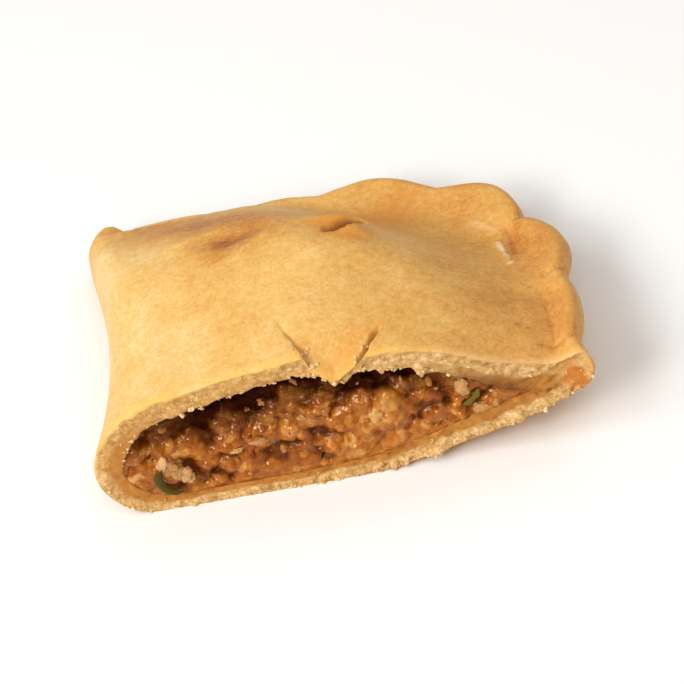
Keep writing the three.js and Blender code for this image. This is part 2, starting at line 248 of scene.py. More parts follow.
# adds a node with its settings, its input values, its links (input: output socket) and the stops of a ramp,
# and gives back the output that is asked for
def addNode(tree, kind, output=None, settings=None, values=None, links=None, stops=()):
    node = tree.nodes.new(kind)
    for name, value in (settings or {}).items():
        setattr(node, name, value)
    for name, value in (values or {}).items():
        node.inputs[name].default_value = value
    for name, socket in (links or {}).items():
        tree.links.new(socket, node.inputs[name])
    for n, (position, code) in enumerate(stops):
        elements = node.color_ramp.elements
        element = elements[n] if n < 2 else elements.new(position)
        element.position = position
        element.color = colour(code)
    return None if output is None else node.outputs[output]


# settings of the nodes that are used again and again
multiply = {"operation": "MULTIPLY"}
multiplyAdd = {"operation": "MULTIPLY_ADD"}  # input 0 times input 1, plus input 2
blend = {"data_type": "RGBA"}  # input 0 is the share, 6 and 7 are the colours, output 2 is the result


# empty material and its tree of nodes
def newMaterial(name):
    material = bpy.data.materials.new(name)
    material.use_nodes = True
    tree = material.node_tree
    tree.nodes.clear()
    return material, tree


# The sheet of dough

# drawing of the half in millimetres, as the solids have it
doughSheet = {
    "cutStart": (-45.5, -35.8),  # the knife crossed the fold here
    "cutEnd": (52.5, -28.5),  # and the rim here
    "foldWaist": (-38.0, 5.0),  # the two pulls on the fold's curve
    "foldEar": (-58.3, 33.0),
    "foldTip": (-51.0, 38.3),
    "foldPoints": 120,
    "rimCorner": (46.5, 43.5),
    "cornerReach": 44,
    "cornerPull": 0.52,
    "cornerPoints": 90,
    "rimSplit": 0.6,
    "lobes": (  # width and how far it stands out, from the tip of the fold
        (6.5, 1.6), (22.7, 1.6), (18, 1.5), (25.8, 2.6), (23.5, 4.6), (24.5, 3.2), (23.3, 2.1), (23.5, 2.2),
    ),
    "lobeFullness": (0.8, 1.7),  # crisp notch and soft notch
    "notches": (  # depth and softness, at the start of each lobe and at the end of the last
        (1.8, 0), (1.8, 0), (1.4, 0.4), (0.7, 1), (0.7, 1), (1.8, 0), (3.2, 0), (2.2, 0), (-0.4, 0),
    ),
    "softPress": 0.2,  # share of its depth that a soft notch keeps
    "notchDeep": 1.0,
    "notchHalfWidth": 2.2,
    "notchLength": 8,
    "scallopFade": 9,
    "scallopStart": 11,
    "crown": 33.5,
    "rimThick": 8,
    "rimCurl": 2.2,
    "curlWidth": 14,
    "edgeRound": 2.6,
    "edgeDrop": 2.2,
    "edgeRise": 1.6,
    "edgeBulge": 1.2,
    "liftStart": 4,  # from this x on the underside rises towards the rim
    "liftEase": 14,
    "liftSlope": 0.29,
    "liftFade": 0.72,
    "liftDepth": 66,
    "foldMiddle": 11,
    "tipMiddle": 5,
    "foldRoundTop": 14,
    "foldRoundUnder": 11,
    "tipRound": 4,
    "foldDepth": 75,
    "flangeBack": (-1, 8),  # at the left and at the right
    "runBack": (43, 36),
    "sealStart": 2,
    "sealWidth": (7, 9),
    "backBlend": (-18, 23),  # from this x on, over so many mm, the left turns into the right
    "flangeRight": 4,
    "runRight": 54,
    "creaseRound": 0.1,
    "flankStart": (9, 18),
    "flankEnd": (48, -22),
    "flankToe": 18,
    "flankRun": 32,
    "slumpStart": 8,
    "slumpWidth": 47,
    "slumpBend": 1.5,
    "slump": 0.27,
    "swells": (  # x, y, width, depth, rise
        (8.2, 6.3, 4.2, 2.6, 1.5),  # front lip of the back vent
        (4.5, 11.4, 7, 3.2, 2.2),  # its back lip
        (9.5, 10, 5, 3.5, 1.6),
        (-49.5, 36, 4.5, 5, 1.2),  # ear at the tip
        (36, -29, 9, 9, -1.8),  # dip before the knob at the end of the cut
    ),
    "swellFall": 1.5,
    "vents": (  # from, to, half width, depth, share by which it stays open at its start
        ((1.2, -34), (-6.5, -19.4), 0.45, 0.55, 0.25),
        ((9.2, -34), (14.2, -23.1), 0.8, 1.7, 0.25),
        ((2.0, 5.0), (10.4, 10.6), 1.7, 2.6, 0),
    ),
    "ventLeast": 0.02,  # keeps the ends of a slit from closing to nothing
    "ventFlat": 0.4,  # share of its half width that is level
    "ridges": (  # from, to, half width, height
        ((-16.8, 8.2), (-10.5, 11.2), 4.2, -1.0),  # dimple beside the back vent
        ((-9.6, 6.0), (-7.4, 11.5), 1.1, 0.5),
        ((-28, 10.8), (-18.6, 14.5), 1.4, 0.5),
        ((34, 15.3), (37.3, 4.8), 0.7, 0.45),  # pinch mark on the seal
        ((28.7, 23.8), (33.7, 19.2), 0.9, 0.35),
        ((36.6, 19.6), (38.1, 10.5), 1.2, -1.1),  # hollow beside it
        ((44.1, -8.2), (47, -22.5), 0.9, -0.5),  # creases round the lobes
        ((45, -0.9), (50, 1.5), 1.0, -0.6),
        ((46, -24), (51, -22.5), 1.0, -0.7),
        ((-45.2, 33), (-44.2, 37.5), 0.9, -0.9),  # crease beside the ear
    ),
    "ridgeTaper": 0.5,  # share of its width that a ridge loses along its length
    "tongueX": 4.8,  # tip of the tongue between the two slits of the front vent
    "tongueHalfWidth": 4.4,
    "tongueReach": 1.8,
    "tongueSink": 3.0,  # of the whole tongue at the cut
    "tongueDroop": 2.6,  # of its tip
    "tongueLength": 14,
    "tongueThick": 1.4,
    "tongueBend": 2.2,
    "tipLength": 6,
    "tipThick": 0.5,  # the lining ends this far behind the tip
    "slitSoft": 0.7,
    "slitWobble": (1.8, 0.3),  # size and swing of the unevenness of the slits' edges
    "edgeRoll": 0.4,  # the skin rolls over the edge of the cut
    "rollWidth": 1.6,
    "calmFold": 6,  # no waves this near the fold
    "footReach": 0.9,  # at the cut the lower layer stands out this far
    "footDepth": 5,
    "footDrop": 0.5,  # and hangs this much lower at the right
    "footDropX": (14, 26),  # from this x on, over so many mm
    "footDropDepth": 30,
    "foldSnap": 0.01,
    "skinWaves": ((16, 0.35), (6, 0.16), (2.4, 0.06), (1.2, 0.03)),  # size and height of the unevenness
}


# border lines of the plan: the ends of the straight cut, the fold as a curve, and the rim as two straight
# stretches with a curve between them
def planLines(sheet):
    names = ("cutStart", "cutEnd", "foldTip", "rimCorner", "foldWaist", "foldEar")
    start, end, tip, corner, waist, ear = (np.array(sheet[name]) for name in names)
    leave = corner + (tip - corner) / np.linalg.norm(tip - corner) * sheet["cornerReach"]
    enter = corner + (end - corner) / np.linalg.norm(end - corner) * sheet["cornerReach"]
    pulls = [mix(place, corner, sheet["cornerPull"]) for place in (leave, enter)]
    bend = curvePoints(leave, *pulls, enter, sheet["cornerPoints"])
    rim = np.concatenate([tip[None], bend, end[None]])
    fold = curvePoints(start, waist, ear, tip, sheet["foldPoints"])
    return {"start": start, "end": end, "tip": tip, "rim": rim, "fold": fold}


lines = planLines(doughSheet)
planWidth = np.linalg.norm(lines["end"] - lines["start"])
planDepth = lines["tip"][1] - lines["start"][1]
# the solids are drawn from the same borders, so the fold has their lowest x and the cut their lowest y
lowest = np.array([lines["fold"][:, 0].min(), lines["start"][1], 0])
drawingShift = np.array([crustBox[0].x, crustBox[0].y, 0]) / mm - lowest


# place at a share of a line's length
def onLine(line, share):
    lengths = lengthsAlong(line)
    return np.stack([np.interp(share * lengths[-1], lengths, line[:, n]) for n in (0, 1)], axis=-1)


# y of the straight cut at a given x
def knifeY(x):
    start, end = lines["start"], lines["end"]
    return start[1] + (end[1] - start[1]) * (x - start[0]) / (end[0] - start[0])


# place in the plan: u from fold to right rim, v from cut to back rim, blended from the four borders
def planPlace(u, v):
    u, v = np.broadcast_arrays(u, v)
    split = doughSheet["rimSplit"]
    front = mix(lines["start"], lines["end"], u[..., None])
    back = onLine(lines["rim"], u * split)
    left = onLine(lines["fold"], v)
    right = onLine(lines["rim"], mix(1, split, v))
    corner = onLine(lines["rim"], np.array(split))
    across, deep = u[..., None], v[..., None]
    corners = mix(front, mix(lines["tip"], corner, across), deep)
    return mix(front, back, deep) + mix(left, right, across) - corners


# lobes of the rim: how far each stands out, the phase within it, the way to the nearest notch, and the depth
# and softness of the notches on its two sides, blended
def lobesAlong(along):
    widths, proud = np.array(doughSheet["lobes"], float).T
    marks = np.concatenate([[0], np.cumsum(widths)])
    number = np.clip(np.searchsorted(marks, along, side="right") - 1, 0, len(widths) - 1)
    phase = np.clip((along - marks[number]) / widths[number], 0, 1)
    notches = np.array(doughSheet["notches"], float)
    near = mix(notches[number], notches[number + 1], softStep(phase)[..., None])
    return proud[number], phase, np.minimum(phase, 1 - phase) * widths[number], near[..., 0], near[..., 1]


# x of the straight line through a slit at a given y
def slitX(vent, y):
    foot, head = vent[:2]
    return foot[0] + (y - foot[1]) * (head[0] - foot[0]) / (head[1] - foot[1])


# tongue between the slits of the front vent: how far it has sunk, as a share of the sink and of the droop.
# It lies between the lines of the two slits, sinks with a power of the way to the cut, and its tip is a tent
def tongueAt(x, y):
    s = doughSheet
    leftVent, rightVent = s["vents"][:2]
    within = softStep((x - slitX(leftVent, y)) / s["slitSoft"] + 0.5)
    within = within * softStep((slitX(rightVent, y) - x) / s["slitSoft"] + 0.5)
    behindCut = np.maximum(0, y - knifeY(x))
    sunk = within * np.clip(1 - behindCut / s["tongueLength"], 0, 1) ** s["tongueBend"]
    tent = np.clip(1 - np.abs(x - s["tongueX"]) / s["tongueHalfWidth"], 0, 1)
    return sunk, tent * (1 - softStep(behindCut / s["tipLength"]))


# heights of the underside and the top skin over the plan. The puff is a product of sine rises from the
# two flanges and the flank, and the fold is two quarter circles that meet at its foremost line
def doughHeights(x, y):
    s = doughSheet
    behindCut = np.maximum(0, y - knifeY(x))
    placeY = knifeY(x) + behindCut
    toRim, along, outX, outY = nearestOnLine(x, placeY, lines["rim"])
    toFold = np.maximum(0, nearestOnLine(x, placeY, lines["fold"])[0] - s["foldSnap"])
    past = np.maximum(0, x - s["liftStart"])
    climbed = np.where(past < s["liftEase"], past ** 2 / (2 * s["liftEase"]), past - s["liftEase"] / 2)
    lift = s["liftSlope"] * climbed * (1 - s["liftFade"] * softStep(behindCut / s["liftDepth"]))
    base = lift + s["rimCurl"] * (1 - softStep(toRim / s["curlWidth"]))
    rounding = 1 - quarterArc(toRim / s["edgeRound"])
    proud, phase, toNotch, inward, soft = lobesAlong(along)
    notch = np.maximum(0, 1 - toNotch / s["notchHalfWidth"]) * mix(1, s["softPress"], soft)
    pressed = s["notchDeep"] * notch * (1 - softStep(toRim / s["notchLength"]))
    end, tip, corner = s["cutEnd"], s["foldTip"], s["rimCorner"]
    rightX = mix(end[0], corner[0], (placeY - end[1]) / (corner[1] - end[1]))
    backY = mix(tip[1], corner[1], (x - tip[0]) / (corner[0] - tip[0]))
    flankX, flankY = np.array(s["flankEnd"]) - np.array(s["flankStart"])
    toFlank = (s["flankStart"][0] - x) * -flankY + (s["flankStart"][1] - placeY) * flankX
    toFlank = toFlank / math.hypot(flankX, flankY)
    slump = 1 - s["slump"] * np.maximum(0, (s["slumpStart"] - x) / s["slumpWidth"]) ** s["slumpBend"]
    toRight = rise(x, *s["backBlend"])
    fromBack = (backY - placeY - mix(*s["flangeBack"], toRight)) / mix(*s["runBack"], toRight)
    eased = (fromBack + np.sqrt(fromBack ** 2 + s["creaseRound"] ** 2)) / 2  # a rounded start
    puff = (sineRise((rightX - x - s["flangeRight"]) / s["runRight"])
            * sineRise(eased)
            * sineRise((toFlank + s["flankToe"]) / s["flankRun"])
            * rise(toRim, s["sealStart"], mix(*s["sealWidth"], toRight)) * slump)
    thick = mix(s["rimThick"], s["crown"], puff)
    for spotX, spotY, wide, deep, height in s["swells"]:
        reach = ((x - spotX) / wide) ** 2 + ((placeY - spotY) / deep) ** 2
        thick = thick + height * np.exp(-s["swellFall"] * reach)
    towardsTip = softStep(behindCut / s["foldDepth"])
    middle = mix(s["foldMiddle"], s["tipMiddle"], towardsTip)
    top = base + thick - s["edgeDrop"] * rounding - pressed
    hang = s["footDrop"] * rise(x, *s["footDropX"]) * (1 - softStep(behindCut / s["footDropDepth"]))
    under = base + s["edgeRise"] * rounding - hang
    high = mix(middle, top, quarterArc(toFold / mix(s["foldRoundTop"], s["tipRound"], towardsTip)))
    low = mix(middle, under, quarterArc(toFold / mix(s["foldRoundUnder"], s["tipRound"], towardsTip)))
    return {
        "high": high, "low": low, "behindCut": behindCut, "toFold": toFold, "toFlank": toFlank,
        "toRim": toRim, "along": along, "outX": outX, "outY": outY,
        "proud": proud, "phase": phase, "inward": inward, "soft": soft,
    }


# outer surface, k from 0 on the underside to 1 on the top skin, with the waves and slits of the skin.
# Lobes are powers of a sine bow, the rim bulges as a parabola, slits are soft steps, ridges are bell curves
def outerSurface(u, v, k):
    s = doughSheet
    place = planPlace(u, v)
    x, y = place[..., 0], place[..., 1]
    h = doughHeights(x, y)
    bow = np.maximum(0, np.sin(math.pi * h["phase"]))
    wave = h["proud"] * bow ** mix(*s["lobeFullness"], h["soft"]) - h["inward"]
    ease = softStep(h["along"] / s["scallopStart"])
    scallop = wave * ease * (1 - softStep(h["toRim"] / s["scallopFade"]))
    nearRim = 1 - softStep(h["toRim"] / s["edgeRound"])
    tall = np.clip((h["high"] - h["low"]) / s["rimThick"], 0, 1)
    push = scallop + s["edgeBulge"] * 4 * k * (1 - k) * nearRim * tall
    spot = np.stack([x, y, np.zeros_like(x)], axis=-1)
    uneven = layeredNoise(spot, s["skinWaves"], noiseSeeds["skin"])
    groove = np.zeros_like(x)
    wobbleSize, wobbleSwing = s["slitWobble"]
    wobble = wobbleSwing * softNoise(spot, wobbleSize, noiseSeeds["slit"])
    for start, end, halfWidth, depth, openStart in s["vents"]:
        gap, t = stretchDistance(x, y, start, end)
        taper = np.sqrt(np.clip(4 * (1 - t) * (t + openStart), s["ventLeast"], 1))
        wall = softStep((gap + wobble) / (halfWidth * taper) - s["ventFlat"])
        groove = np.maximum(groove, depth * (1 - wall) * taper)
    for start, end, halfWidth, height in s["ridges"]:
        gap, t = stretchDistance(x, y, start, end)
        uneven = uneven + height * np.exp(-(gap / (halfWidth * (1 - s["ridgeTaper"] * t))) ** 2)
    sunk, tent = tongueAt(x, y)
    away = softStep(h["toFold"] / s["calmFold"])
    lower = s["tongueSink"] * sunk + s["tongueDroop"] * tent
    roll = s["edgeRoll"] * (1 - np.clip(h["behindCut"] / s["rollWidth"], 0, 1)) ** 2
    top = h["high"] + ((uneven - groove) * away - roll) * tall - lower
    z = mix(h["low"], top, k)
    foot = (1 - k) * away * s["footReach"] * (1 - softStep(h["behindCut"] / s["footDepth"]))
    yOut = y + h["outY"] * push - k * s["tongueReach"] * tent - foot
    h["groove"] = groove
    return np.stack([x + h["outX"] * push, yOut, z], axis=-1), h


# how far the skin has browned: 0 is pale gold, 1 is deep brown
baking = {
    "atFold": 0.16,
    "atRim": 0.47,
    "flank": 0.07,  # more on the steep side towards the rim
    "flankFrom": (-6, 12),  # where this fades beside the flank's line, and over how many mm
    "flankSeal": 8,  # mm from the rim over which it sets in
    "rim": 0.05,  # more along the rim
    "rimWidth": 10,
    "mottling": ((12, 0.5), (1.6, 0.4), (0.65, 0.5)),  # size in mm and swing of the uneven browning
    "spots": (  # x, y, half widths, change
        (-13.5, 8, 7.5, 6, 0.42),  # dimple
        (-17.8, 7.2, 4, 3, 0.24),
        (-19.3, 1.5, 3.4, 2.4, 0.2),
        (-24, 6.5, 6, 4, 0.14),
        (-47.5, 33.5, 7, 6, 0.24),  # ear
        (-37, 28, 10, 7, 0.34),  # along the back
        (-27, 22, 10, 7, 0.4),
        (-17, 18, 10, 6, 0.32),
        (4, 7.5, 5, 3.4, 0.26),  # lips of the back vent
        (4.6, -34, 4.4, 5, 0.12),  # tongue
        (37.4, 15.5, 1.8, 5, 0.2),  # hollow in the seal
        (26, -1, 5, 5, 0.05),
        (33, -12, 7, 6, 0.12),
        (42, -19, 6, 6, 0.06),
        (30, 40, 14, 5, 0.08),
        (46, -25.2, 1.8, 1.2, 0.16),
        (44.3, -8, 1.2, 2.2, 0.14),
        (-30.6, -7.8, 0.5, 0.5, 0.22),  # dark specks
        (-20.4, -12.5, 0.8, 0.6, 0.12),
        (-2.9, -15.5, 0.8, 0.6, 0.12),
        (26.4, -16.9, 0.5, 0.5, 0.25),
        (39.2, -18.7, 0.45, 0.45, 0.45),
        (41.1, -19.4, 0.4, 0.4, 0.3),
        (43.3, -24.2, 0.5, 0.5, 0.35),
    ),
    "stains": (  # x, y, half widths, strength of the orange where fat came through
        (6.5, 3.6, 5, 2.3, 1.0),  # front lip of the back vent
        (3.2, 9.4, 6, 3.2, 1.0),  # its back lip
        (10, 28, 10, 7, 0.85),
        (14, 20, 4, 5, 0.3),
        (14.6, 35, 4, 1.6, 0.3),
        (4.3, -3.8, 1.7, 0.7, 0.3),
        (8.2, -29, 1.8, 4.5, 0.55),  # right side of the tongue
        (5, -33, 3.5, 2.5, 0.3),
        (13, -25.5, 1.6, 3, 0.35),
        (-0.6, -28.4, 1.4, 4.5, 0.5),  # left slit
    ),
    "paleMarksAndHighlights": (  # from, to, half width, strength of the pale marks on the pinch ridges, partly floury, partly a painted highlight
        ((34.2, 14.8), (37.2, 5.4), 0.5, 0.9),
        ((29.2, 23.4), (33.4, 19.6), 0.7, 0.25),
    ),
    "paleTaper": 0.5,  # share of its width that a mark loses along its length
    "paleWobble": (1.3, 0.35),  # size and swing of the unevenness of these marks
    "palePatchy": 1.2,
}


# round spots added up, each a bell curve
def bellSpots(x, y, spots):
    total = np.zeros_like(x)
    for spotX, spotY, wide, deep, change in spots:
        total += change * np.exp(-((x - spotX) / wide) ** 2 - ((y - spotY) / deep) ** 2)
    return total


# tone: a slope from the fold to the rim, the flank, the rim and spots. Stains and pale marks, which are
# partly painted highlights, are shares from 0 to 1, and a pale mark is a bell curve across its line
def bakedTone(x, y, facts):
    b = baking
    tone = mix(b["atFold"], b["atRim"], np.clip((x - lines["start"][0]) / planWidth, 0, 1))
    flank = (1 - rise(facts["toFlank"], *b["flankFrom"])) * softStep(facts["toRim"] / b["flankSeal"])
    rim = 1 - softStep(facts["toRim"] / b["rimWidth"])
    tone = tone + b["flank"] * flank + b["rim"] * rim + bellSpots(x, y, b["spots"])
    spot = np.stack([x, y, np.zeros_like(x)], axis=-1)
    wobbleSize, wobbleSwing = b["paleWobble"]
    wobble = wobbleSwing * softNoise(spot, wobbleSize, noiseSeeds["paleEdge"])
    patchy = np.clip(1 + b["palePatchy"] * softNoise(spot, wobbleSize, noiseSeeds["palePatchy"]), 0, 1)
    pale = np.zeros_like(x)
    for start, end, halfWidth, strength in b["paleMarksAndHighlights"]:
        gap, t = stretchDistance(x, y, start, end)
        reach = halfWidth * (1 - b["paleTaper"] * t)
        pale = np.maximum(pale, strength * patchy * np.exp(-((gap + wobble) / reach) ** 2))
    return tone, np.clip(bellSpots(x, y, b["stains"]), 0, 1), pale


# The crust

pocket = {
    "left": 0.056,  # shares of the plan
    "right": 0.888,
    "back": 0.83,
    "taper": 0.33,
    "doughTop": 4.2,
    "doughLip": 0.3,  # thicker at the cut
    "lipDepth": 10,
    "doughLeft": 1.3,  # thicker towards the fold
    "doughLeftFrom": -8,
    "doughLeftWidth": 25,
    "doughGain": 2.2,  # thicker towards the rim
    "doughGainWidth": 42,
    "doughUnder": (2.7, 4.7),  # under the filling, at the left and at the right
    "doughUnderX": (-12, 46),  # from this x on, over so many mm
    "roundLeft": 9,
    "roundRight": 22,
    "roundBack": 14,
    "leastSpace": 1,
    "gapMost": 0.4,  # largest share of the height that a gap under the roof takes
}


# inside the dough: a from left to right, b from the cut to the back, k from floor to roof. Roof and floor
# close on each other along quarter circles at the left, the right and the back
def insideSurface(a, b, k, inset=0.0, side=0.0, gap=0.0):
    p = pocket
    left = p["left"] + side / planWidth
    back = p["back"] - side / planDepth
    right = p["right"] - p["taper"] * b - side / planWidth
    width = (right - left) * planWidth
    opening = (quarterArc(a * width / p["roundLeft"]) * quarterArc((1 - a) * width / p["roundRight"])
               * quarterArc((1 - b) * back * planDepth / p["roundBack"]))
    level = 0.5 + (k - 0.5) * opening
    place = planPlace(mix(left, right, a), back * b)
    x, y = place[..., 0], place[..., 1]
    h = doughHeights(x, y)
    dough = p["doughTop"] + p["doughGain"] * softStep(x / p["doughGainWidth"])
    dough = dough + p["doughLeft"] * softStep((p["doughLeftFrom"] - x) / p["doughLeftWidth"])
    dough = dough + p["doughLip"] * (1 - softStep(h["behindCut"] / p["lipDepth"]))
    floor = h["low"] + mix(*p["doughUnder"], rise(x, *p["doughUnderX"])) + inset
    roof = np.maximum(floor + p["leastSpace"], h["high"] - dough - inset)
    drop = np.minimum(gap, p["gapMost"] * (roof - floor)) * np.maximum(0, 2 * level - 1)
    return np.stack([x, y, mix(floor, roof, level) - drop], axis=-1)


crustMesh = {
    "across": 236,  # samples from the fold to the rim, on the top and on the underside
    "deep": 156,  # samples from the cut to the back
    "edgeRows": 8,  # rows round the edge of the rim
    "crumbRows": 18,  # rows across the cut face
    "liningRows": 18,  # rows into the pocket
    "liningCrowd": 2.2,  # they draw together towards the cut
    "liningEase": 0.25,  # share of these rows that follow the ragged lip
    "acrossZones": ((0.53, 0.11, 1.6), (0.0, 0.06, 1.2), (1.0, 0.05, 1.5)),
    "deepZones": ((0.0, 0.14, 2.2), (0.61, 0.06, 2.6), (1.0, 0.05, 1.5)),
    "crumbGrain": ((2.4, 0.25), (1.2, 0.3), (0.7, 0.22)),  # size and relief of the crumb in mm
    "grainGain": (0.5, 1.45),  # the crumb is finer at the left and coarser at the right
    "grainBlend": (-12, 26),  # from this x on, over so many mm
    "calmShare": 0.16,  # the grain sets in over this share of the cut face
    "lipRagged": 0.75,
    "lipGrain": ((1.7, 1.0), (0.8, 0.9)),
    "lipBend": 4,  # raggedness grows with this power of the way to the mouth
    "lipLower": 0.4,  # the lower lip is this much as ragged
    "lipCalm": (20, 8),  # from this x on, over so many mm, the lip turns even
    "baseRagged": 1.1,  # lumps that stand out along the bottom of the cut
    "baseGrain": 1.4,
    "baseRows": 0.4,  # share of the rows that these lumps take
    "baseMost": 0.5,  # strongest noise that counts
    "baseHeight": 0.02,  # mm, lowest place of the crumb
    "knob": (48.9, 15.9, 3.6, 0.7),  # x, z, radius and depth of the browned hollow where the rim was cut
    "knobWobble": (1.8, 0.5),  # size and swing of the unevenness of its edge
    "knobFlat": 0.5,
    "knobEdge": 0.7,
    "knobCalm": 0.6,  # share of the grain that it loses
    "knobTone": 1.0,
    "knobBend": 3,  # its tone draws together in its middle
    "knobStain": 0.75,
    "skinShare": 0.11,  # share of the cut face that the golden skin takes
    "skinFrom": 0.3,  # share of this that is skin alone
    "skinRagged": 0.1,
    "raggedSize": 2.5,
    "creamShare": 0.5,  # share of the lower layer that is dry, the rest is soaked with fat
    "creamEnds": 0.8,  # less at the two ends
    "creamRagged": 0.14,
    "creamRight": 0.6,  # the crumb is paler at the right
    "creamLower": 0.5,  # and in the lower layer
    "creamBend": 3,  # keeps the pale crumb away from the skin
    "soakWidth": 0.2,
    "soakLeft": 0.9,
    "leftEnd": 0.16,  # shares of the width that count as the two ends
    "rightEnd": (0.72, 0.2),
    "mouthDark": 0.6,  # painted shade: at the right the dough darkens towards the mouth by this share
    "mouthRows": (0.4, 0.6),  # from this share of the way to the mouth, over this share
    "mouthEnd": (36, 8),  # from this x on, over so many mm, no more
    "hollowDepth": 0.05,  # share of the pocket's depth over which painted shade darkens its roof
    "grooveDark": 0.65,
    "grooveFrom": (0.5, 1.4),  # painted shade: slits darken from this depth in mm, over so many
    "underTone": 0.45,
    "underCut": 0.8,  # mm that the crumb goes round the lower edge
    "glowWidth": 1.3,  # golden line along the edge of the cut: the rolled skin's colour and a painted highlight
    "glowShare": 0.6,
    "glowPatchy": (6.0, 0.9),  # size and swing of its unevenness
    "glowFade": (12, 20),  # from this x on, over so many mm, it fades
    "glowLeft": 0.35,  # to this share
    "paleEdge": 0.15,  # there the edge of the skin is floury
    "paleWidth": 1.0,
}
# what the material reads from the mesh: tone of the skin, orange stains, pale marks and painted highlights,
# golden edge with a painted highlight, cut dough, fat in the crumb, and painted shade in slits and hollows
doughLooks = ("tone", "stain", "pale", "glow", "cut", "soak", "dark")


# crumb: noise stands out of the cut face, more at the right, and the edges are ragged. Rows run from the
# outline of the cut to the outline of the mouth, level is 0 along the underside and 1 along the top
def roughenCut(ring, row, level):
    c = crustMesh
    gain = mix(*c["grainGain"], rise(ring[..., 0], *c["grainBlend"]))
    grain = layeredNoise(ring, c["crumbGrain"], noiseSeeds["crumb"])
    knobX, knobZ, knobRadius, knobDeep = c["knob"]
    wobbleSize, wobbleSwing = c["knobWobble"]
    toKnob = np.hypot(ring[..., 0] - knobX, ring[..., 2] - knobZ) / knobRadius
    toKnob = toKnob + wobbleSwing * softNoise(ring, wobbleSize, noiseSeeds["knob"])
    dent = 1 - rise(toKnob, c["knobFlat"], c["knobEdge"])
    lip = row ** c["lipBend"] * np.where(level > 0.5, 1.0, c["lipLower"])[:, None]
    lip = lip * (1 - rise(ring[..., 0], *c["lipCalm"]))
    hang = lip * gain * c["lipRagged"] * layeredNoise(ring, c["lipGrain"], noiseSeeds["lip"])
    nearBase = np.sin(math.pi * np.clip(row / c["baseRows"], 0, 1)) * np.where(level < 0.5, 1.0, 0.0)[:, None]
    lumps = np.clip(softNoise(ring, c["baseGrain"], noiseSeeds["base"]), 0, c["baseMost"])
    lumps = lumps * nearBase * gain * c["baseRagged"]
    inner = softStep(row / c["calmShare"])
    ring[..., 1] += inner * (knobDeep * dent - gain * grain * (1 - c["knobCalm"] * dent)) - lumps
    ring[..., 2] += hang - lumps
    ring[:, 1:, 2] = np.maximum(ring[:, 1:, 2], c["baseHeight"])
    return dent


# looks of the top skin: its baking, a golden line along the cut, floury at the right, and painted shade in
# slits
def skinLooks(top, facts):
    c = crustMesh
    tone, stain, pale = bakedTone(top[..., 0], top[..., 1], facts)
    toRight = rise(top[..., 0], *c["glowFade"])
    patchSize, patchSwing = c["glowPatchy"]
    patchy = np.clip(c["glowShare"] + patchSwing * softNoise(top, patchSize, noiseSeeds["glow"]), 0, 1)
    glow = np.exp(-(facts["behindCut"] / c["glowWidth"]) ** 2) * patchy * mix(1, c["glowLeft"], toRight)
    floury = c["paleEdge"] * toRight * np.exp(-(facts["behindCut"] / c["paleWidth"]) ** 2)
    dark = c["grooveDark"] * rise(facts["groove"], *c["grooveFrom"])
    return {"tone": tone, "stain": stain, "pale": np.maximum(pale, floury), "glow": glow, "dark": dark}


# looks of the cut face: skin along its outline, pale crumb, fat in the lower layer and at both ends, the
# browned knob, and painted shade on the dough towards the mouth at the right
def cutLooks(ring, row, level, share, ragged, dent, edgeTone, edgeGlow):
    c = crustMesh
    isLower = np.where(level < 0.5, 1.0, 0.0)[:, None]
    atRight = rise(share, *c["rightEnd"])[:, None]
    atLeft = 1 - softStep(share / c["leftEnd"])[:, None]
    dry = c["creamShare"] * mix(1, c["creamEnds"], np.maximum(atRight, atLeft)) - c["creamRagged"] * ragged
    soak = rise(row, dry, c["soakWidth"]) * np.maximum(isLower, np.maximum(atRight, c["soakLeft"] * atLeft))
    cut = softStep((row + c["skinRagged"] * ragged) / c["skinShare"] - c["skinFrom"])
    cut = np.maximum(cut, isLower) * (1 - dent)
    cream = np.maximum(c["creamRight"] * rise(ring[..., 0], *c["grainBlend"]), c["creamLower"] * isLower)
    mouth = c["mouthDark"] * atRight * rise(row, *c["mouthRows"]) * (1 - isLower)
    return {
        "tone": mix(edgeTone, c["knobTone"], dent ** c["knobBend"]),
        "stain": c["knobStain"] * dent,
        "pale": cream * cut ** c["creamBend"],
        "glow": edgeGlow * (1 - dent) * (1 - softStep(row / c["skinShare"])),
        "cut": cut,
        "soak": soak * (1 - dent),
        "dark": mouth * (1 - rise(ring[..., 0], *c["mouthEnd"])),
    }


